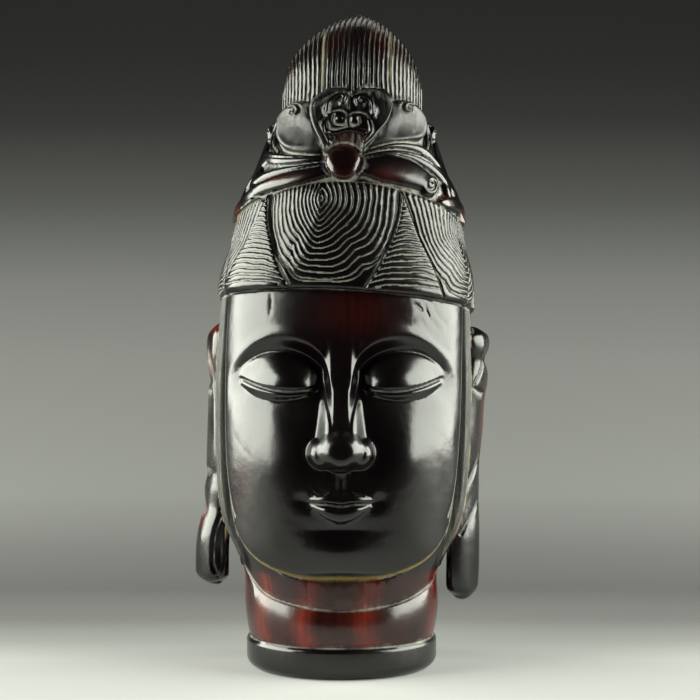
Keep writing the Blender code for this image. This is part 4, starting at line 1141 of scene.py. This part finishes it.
def carved_ear(side, net, shown_at, front):
    """The ear's net with folds cut where it shows from the front, and its finish."""
    carving = right_ear_carving if side > 0 else left_ear_carving
    relief, wax, glow = carving(shown_at, net[:, :, 2])
    net = net + outward(net) * side * (relief * front)[:, :, None]
    in_cuts = 0.35 * ease(0.1, 0.3, hollowness(relief * front))
    wax = np.clip(np.maximum(in_cuts, wax * front), 0, 1)
    return net, np.stack([wax, np.clip(glow, 0, 1), np.zeros(glow.shape)], 2)


def hex_colour(text):
    """An sRGB hex colour as linear numbers."""
    parts = [int(text[i:i + 2], 16) / 255 for i in (1, 3, 5)]
    return tuple(c / 12.92 if c <= 0.04045 else ((c + 0.055) / 1.055) ** 2.4 for c in parts) + (1.0,)


def add_node(tree, kind, settings=None, **links):
    """A new node with its settings and links. A link is named for its input, with _ for a space, or is n and
    the input's number."""
    node = tree.nodes.new(kind)
    for name, value in (settings or {}).items():
        if isinstance(name, int) or name in node.inputs:
            node.inputs[name].default_value = value
        else:
            setattr(node, name, value)
    for name, source in links.items():
        key = int(name[1:]) if name[0] == "n" and name[1:].isdigit() else name.replace("_", " ")
        tree.links.new(source, node.inputs[key])
    return node


def new_material(name):
    """An empty material with its node tree and its shader."""
    material = bpy.data.materials.new(name)
    material.use_nodes = True
    return material, material.node_tree, material.node_tree.nodes["Principled BSDF"]


def buffalo_horn():
    """Dark buffalo horn, buffed to a high gloss, with old polishing wax left in its cuts."""
    material, tree, shader = new_material("polished_buffalo_horn")
    shader.inputs["IOR"].default_value = 1.54
    finish = add_node(tree, "ShaderNodeAttribute", {"attribute_name": "finish"})
    parts = add_node(tree, "ShaderNodeSeparateColor", Color=finish.outputs["Color"])
    wax, glow, amber = (parts.outputs[k] for k in range(3))
    place = add_node(tree, "ShaderNodeTexCoord").outputs["Object"]
    scale = {"Scale": (FIBRES_ACROSS, FIBRES_ACROSS, FIBRES_ALONG)}
    lengthways = add_node(tree, "ShaderNodeMapping", scale, Vector=place).outputs[0]
    fibre = add_node(tree, "ShaderNodeTexNoise", {"Scale": 1.0, "Detail": 4.0}, Vector=lengthways)
    fibre = fibre.outputs["Fac"]
    cloud = add_node(tree, "ShaderNodeTexNoise", {"Scale": CLOUDS, "Detail": 3.0}, Vector=place)
    cloud = cloud.outputs["Fac"]
    ragged = ragged_wax(tree, place, fibre, wax)
    spread = {"From Min": 0.22, "From Max": 0.80}
    waxed = add_node(tree, "ShaderNodeMapRange", spread, Value=ragged).outputs[0]
    horn_colour(tree, shader, fibre, cloud, glow, amber, waxed)
    horn_gloss(tree, shader, cloud, ragged, waxed)
    horn_surface(tree, shader, place, fibre)
    return material


def ragged_wax(tree, place, fibre, wax):
    """The wax broken up along the fibres and by a fine grain, as rubbing leaves it."""
    grain = add_node(tree, "ShaderNodeTexNoise", {"Scale": GRAINS, "Detail": 3.0}, Vector=place)
    both = {"data_type": "FLOAT", "Factor": 0.6}
    mottle = add_node(tree, "ShaderNodeMix", both, A=grain.outputs["Fac"], B=fibre)
    worn = {"From Min": 0.3, "From Max": 0.7, "To Min": 0.55, "To Max": 1.45}
    share = add_node(tree, "ShaderNodeMapRange", worn, Value=mottle.outputs[0])
    return add_node(tree, "ShaderNodeMath", {"operation": "MULTIPLY"}, n0=wax, n1=share.outputs[0]).outputs[0]


def horn_colour(tree, shader, fibre, cloud, glow, amber, waxed):
    """Near-black horn, red or amber where light comes through it, under pale or yellow wax."""
    colours = {"data_type": "RGBA", "A": hex_colour(DARK_HORN), "B": hex_colour(CLOUDY_HORN)}
    dark = add_node(tree, "ShaderNodeMix", colours, Factor=cloud)
    colours = {"data_type": "RGBA", "A": hex_colour(RED_HORN), "B": hex_colour(AMBER_HORN)}
    thin = add_node(tree, "ShaderNodeMix", colours, Factor=amber)
    colours = {"data_type": "RGBA", "A": hex_colour(PALE_WAX), "B": hex_colour(YELLOW_WAX)}
    wax = add_node(tree, "ShaderNodeMix", colours, Factor=amber)
    veins = {"From Min": 0.25, "From Max": 0.7, "To Min": 0.35}
    veined = add_node(tree, "ShaderNodeMapRange", veins, Value=fibre)
    streaked = add_node(tree, "ShaderNodeMath", {"operation": "MULTIPLY"}, n0=glow, n1=veined.outputs[0])
    horn = add_node(
        tree, "ShaderNodeMix", {"data_type": "RGBA"},
        Factor=streaked.outputs[0], A=dark.outputs["Result"], B=thin.outputs["Result"],
    )
    colour = add_node(
        tree, "ShaderNodeMix", {"data_type": "RGBA"},
        Factor=waxed, A=horn.outputs["Result"], B=wax.outputs["Result"],
    )
    tree.links.new(colour.outputs["Result"], shader.inputs["Base Color"])


def horn_gloss(tree, shader, cloud, ragged, waxed):
    """A high gloss that clouds a little, satin under a thin film of wax, and dull on the wax itself."""
    buffed = {"From Min": 0.35, "From Max": 0.65, "To Min": 0.17, "To Max": 0.27}
    sheen = add_node(tree, "ShaderNodeMapRange", buffed, Value=cloud).outputs[0]
    thin_film = {"From Min": 0.06, "From Max": 0.22}
    filmed = add_node(tree, "ShaderNodeMapRange", thin_film, Value=ragged).outputs[0]
    for covered, roughness in ((filmed, 0.56), (waxed, 0.65)):
        dull = {"data_type": "FLOAT", "B": roughness}
        sheen = add_node(tree, "ShaderNodeMix", dull, Factor=covered, A=sheen).outputs[0]
    tree.links.new(sheen, shader.inputs["Roughness"])


def horn_surface(tree, shader, place, fibre):
    """Soft dents that the buffing left, and the faint lift of the fibres."""
    dents = add_node(tree, "ShaderNodeTexNoise", {"Scale": DENTS, "Detail": 3.6}, Vector=place)
    depth = {"Strength": 0.35, "Distance": 0.0006}
    dented = add_node(tree, "ShaderNodeBump", depth, Height=dents.outputs["Fac"])
    depth = {"Strength": 0.08, "Distance": 0.0002}
    fine = add_node(tree, "ShaderNodeBump", depth, Height=fibre, Normal=dented.outputs[0])
    tree.links.new(fine.outputs[0], shader.inputs["Normal"])


def linked(name, data):
    """A new object in the scene for a mesh, a light or a camera."""
    obj = bpy.data.objects.new(name, data)
    bpy.context.scene.collection.objects.link(obj)
    return obj


def carved_head():
    """The whole carving as one closed mesh."""
    net, finish = head_net()
    obj = linked("carved_head", net_mesh("carved_head", placed(net), finish))
    cutters = []
    for side, name in ((-1, "left_ear"), (1, "right_ear")):
        net, finish = ear_net(side)
        ear = linked(name, net_mesh(name, placed(net), finish))
        join = obj.modifiers.new(name, "BOOLEAN")
        join.operation = "UNION"
        join.solver = "MANIFOLD"
        join.object = ear
        cutters.append(ear)
    thin = obj.modifiers.new("thin", "DECIMATE")
    thin.ratio = MOST_TRIANGLES / (2 * (ROWS * COLUMNS + 2 * EAR_ROWS * EAR_COLUMNS))
    bpy.context.view_layer.update()
    graph = bpy.context.evaluated_depsgraph_get()
    finished = bpy.data.meshes.new_from_object(obj.evaluated_get(graph), depsgraph=graph)
    obj.modifiers.clear()
    obj.data = finished
    finished.name = "carved_head"
    for cutter in cutters:
        bpy.data.objects.remove(cutter)
    finished.shade_smooth()
    finished.materials.clear()
    finished.materials.append(buffalo_horn())
    return obj


def sweep_mesh():
    """A sheet drawn back from its front edge, round the bend and up the wall."""
    bm = bmesh.new()
    first = bm.verts.new((-SWEEP_HALF_WIDTH, SWEEP_FRONT, 0))
    last = bm.verts.new((SWEEP_HALF_WIDTH, SWEEP_FRONT, 0))
    row = [bm.edges.new((first, last))]
    steps = [(0, SWEEP_BACK - SWEEP_FRONT - SWEEP_BEND, 0)]
    for k in range(SWEEP_FACETS):
        a, b = math.radians(90 * k / SWEEP_FACETS), math.radians(90 * (k + 1) / SWEEP_FACETS)
        back, up = math.sin(b) - math.sin(a), math.cos(a) - math.cos(b)
        steps.append((0, SWEEP_BEND * back, SWEEP_BEND * up))
    steps.append((0, 0, SWEEP_RISE))
    for step in steps:
        grown = bmesh.ops.extrude_edge_only(bm, edges=row)
        ends = [v for v in grown["geom"] if isinstance(v, bmesh.types.BMVert)]
        bmesh.ops.translate(bm, verts=ends, vec=step)
        edges = [e for e in grown["geom"] if isinstance(e, bmesh.types.BMEdge)]
        row = [e for e in edges if all(v in ends for v in e.verts)]
    bmesh.ops.recalc_face_normals(bm, faces=bm.faces)
    mesh = bpy.data.meshes.new("sweep")
    bm.to_mesh(mesh)
    bm.free()
    mesh.shade_smooth()
    return mesh


def shade_painted_paper():
    """Matt paper whose tone, painted with light and shade, runs from pale on the table to near black at the
    top of the wall.
    """
    material, tree, shader = new_material("backdrop_paper_painted_shade")
    shader.inputs["Roughness"].default_value = 0.85
    shader.inputs["Specular IOR Level"].default_value = 0.1
    place = add_node(tree, "ShaderNodeTexCoord").outputs["Object"]
    axes = add_node(tree, "ShaderNodeSeparateXYZ", Vector=place).outputs
    along_it = add_node(tree, "ShaderNodeMath", {"operation": "ADD"}, n0=axes["Z"], n1=axes["Y"])
    reach = {"From Min": SWEEP_NEAR, "From Max": SWEEP_FAR}
    share = add_node(tree, "ShaderNodeMapRange", reach, Value=along_it.outputs[0])
    # The ramp paints the backdrop's light and shade into its colour.
    ramp = add_node(tree, "ShaderNodeValToRGB", Fac=share.outputs[0])
    while len(ramp.color_ramp.elements) < len(SWEEP_LIGHT_AND_SHADE_TONES):
        ramp.color_ramp.elements.new(0.5)
    for element, (metres, tone) in zip(ramp.color_ramp.elements, SWEEP_LIGHT_AND_SHADE_TONES):
        element.position = (metres - SWEEP_NEAR) / (SWEEP_FAR - SWEEP_NEAR)
        element.color = (tone, tone, tone, 1.0)
    tree.links.new(ramp.outputs["Color"], shader.inputs["Base Color"])
    return material


def studio_sweep():
    """A pale table that curves up into a grey wall."""
    sweep = linked("sweep", sweep_mesh())
    sweep.data.materials.append(shade_painted_paper())


def soft_light(name, place, aim, width, height, power):
    """A rectangular soft light turned to its aim."""
    light = bpy.data.lights.new(name, "AREA")
    light.shape = "RECTANGLE"
    light.size = width
    light.size_y = height
    light.energy = power
    light.color = hex_colour(SOFTBOX_LIGHT)[:3]
    obj = linked(name, light)
    obj.location = place
    obj.rotation_euler = (Vector(aim) - Vector(place)).to_track_quat("-Z", "Y").to_euler()


def studio():
    """Two soft lights beside the head, a weak one over the table behind it, and the dim room."""
    for softbox in SOFTBOXES:
        soft_light(*softbox)
    world = bpy.data.worlds.new("dim_studio")
    world.use_nodes = True
    room = world.node_tree.nodes["Background"].inputs
    room["Color"].default_value = hex_colour(ROOM_LIGHT)
    room["Strength"].default_value = ROOM_STRENGTH
    bpy.context.scene.world = world
    bpy.context.scene.view_settings.view_transform = "Standard"


def camera():
    """The camera, level and turned straight along +Y."""
    data = bpy.data.cameras.new("camera")
    data.lens = CAMERA_LENS
    data.sensor_width = CAMERA_SENSOR
    obj = linked("camera", data)
    obj.location = CAMERA_PLACE
    obj.rotation_euler = (math.pi / 2, 0, 0)
    bpy.context.scene.camera = obj


head = carved_head()
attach(head, "root")
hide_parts(NODE)
studio_sweep()
studio()
camera()
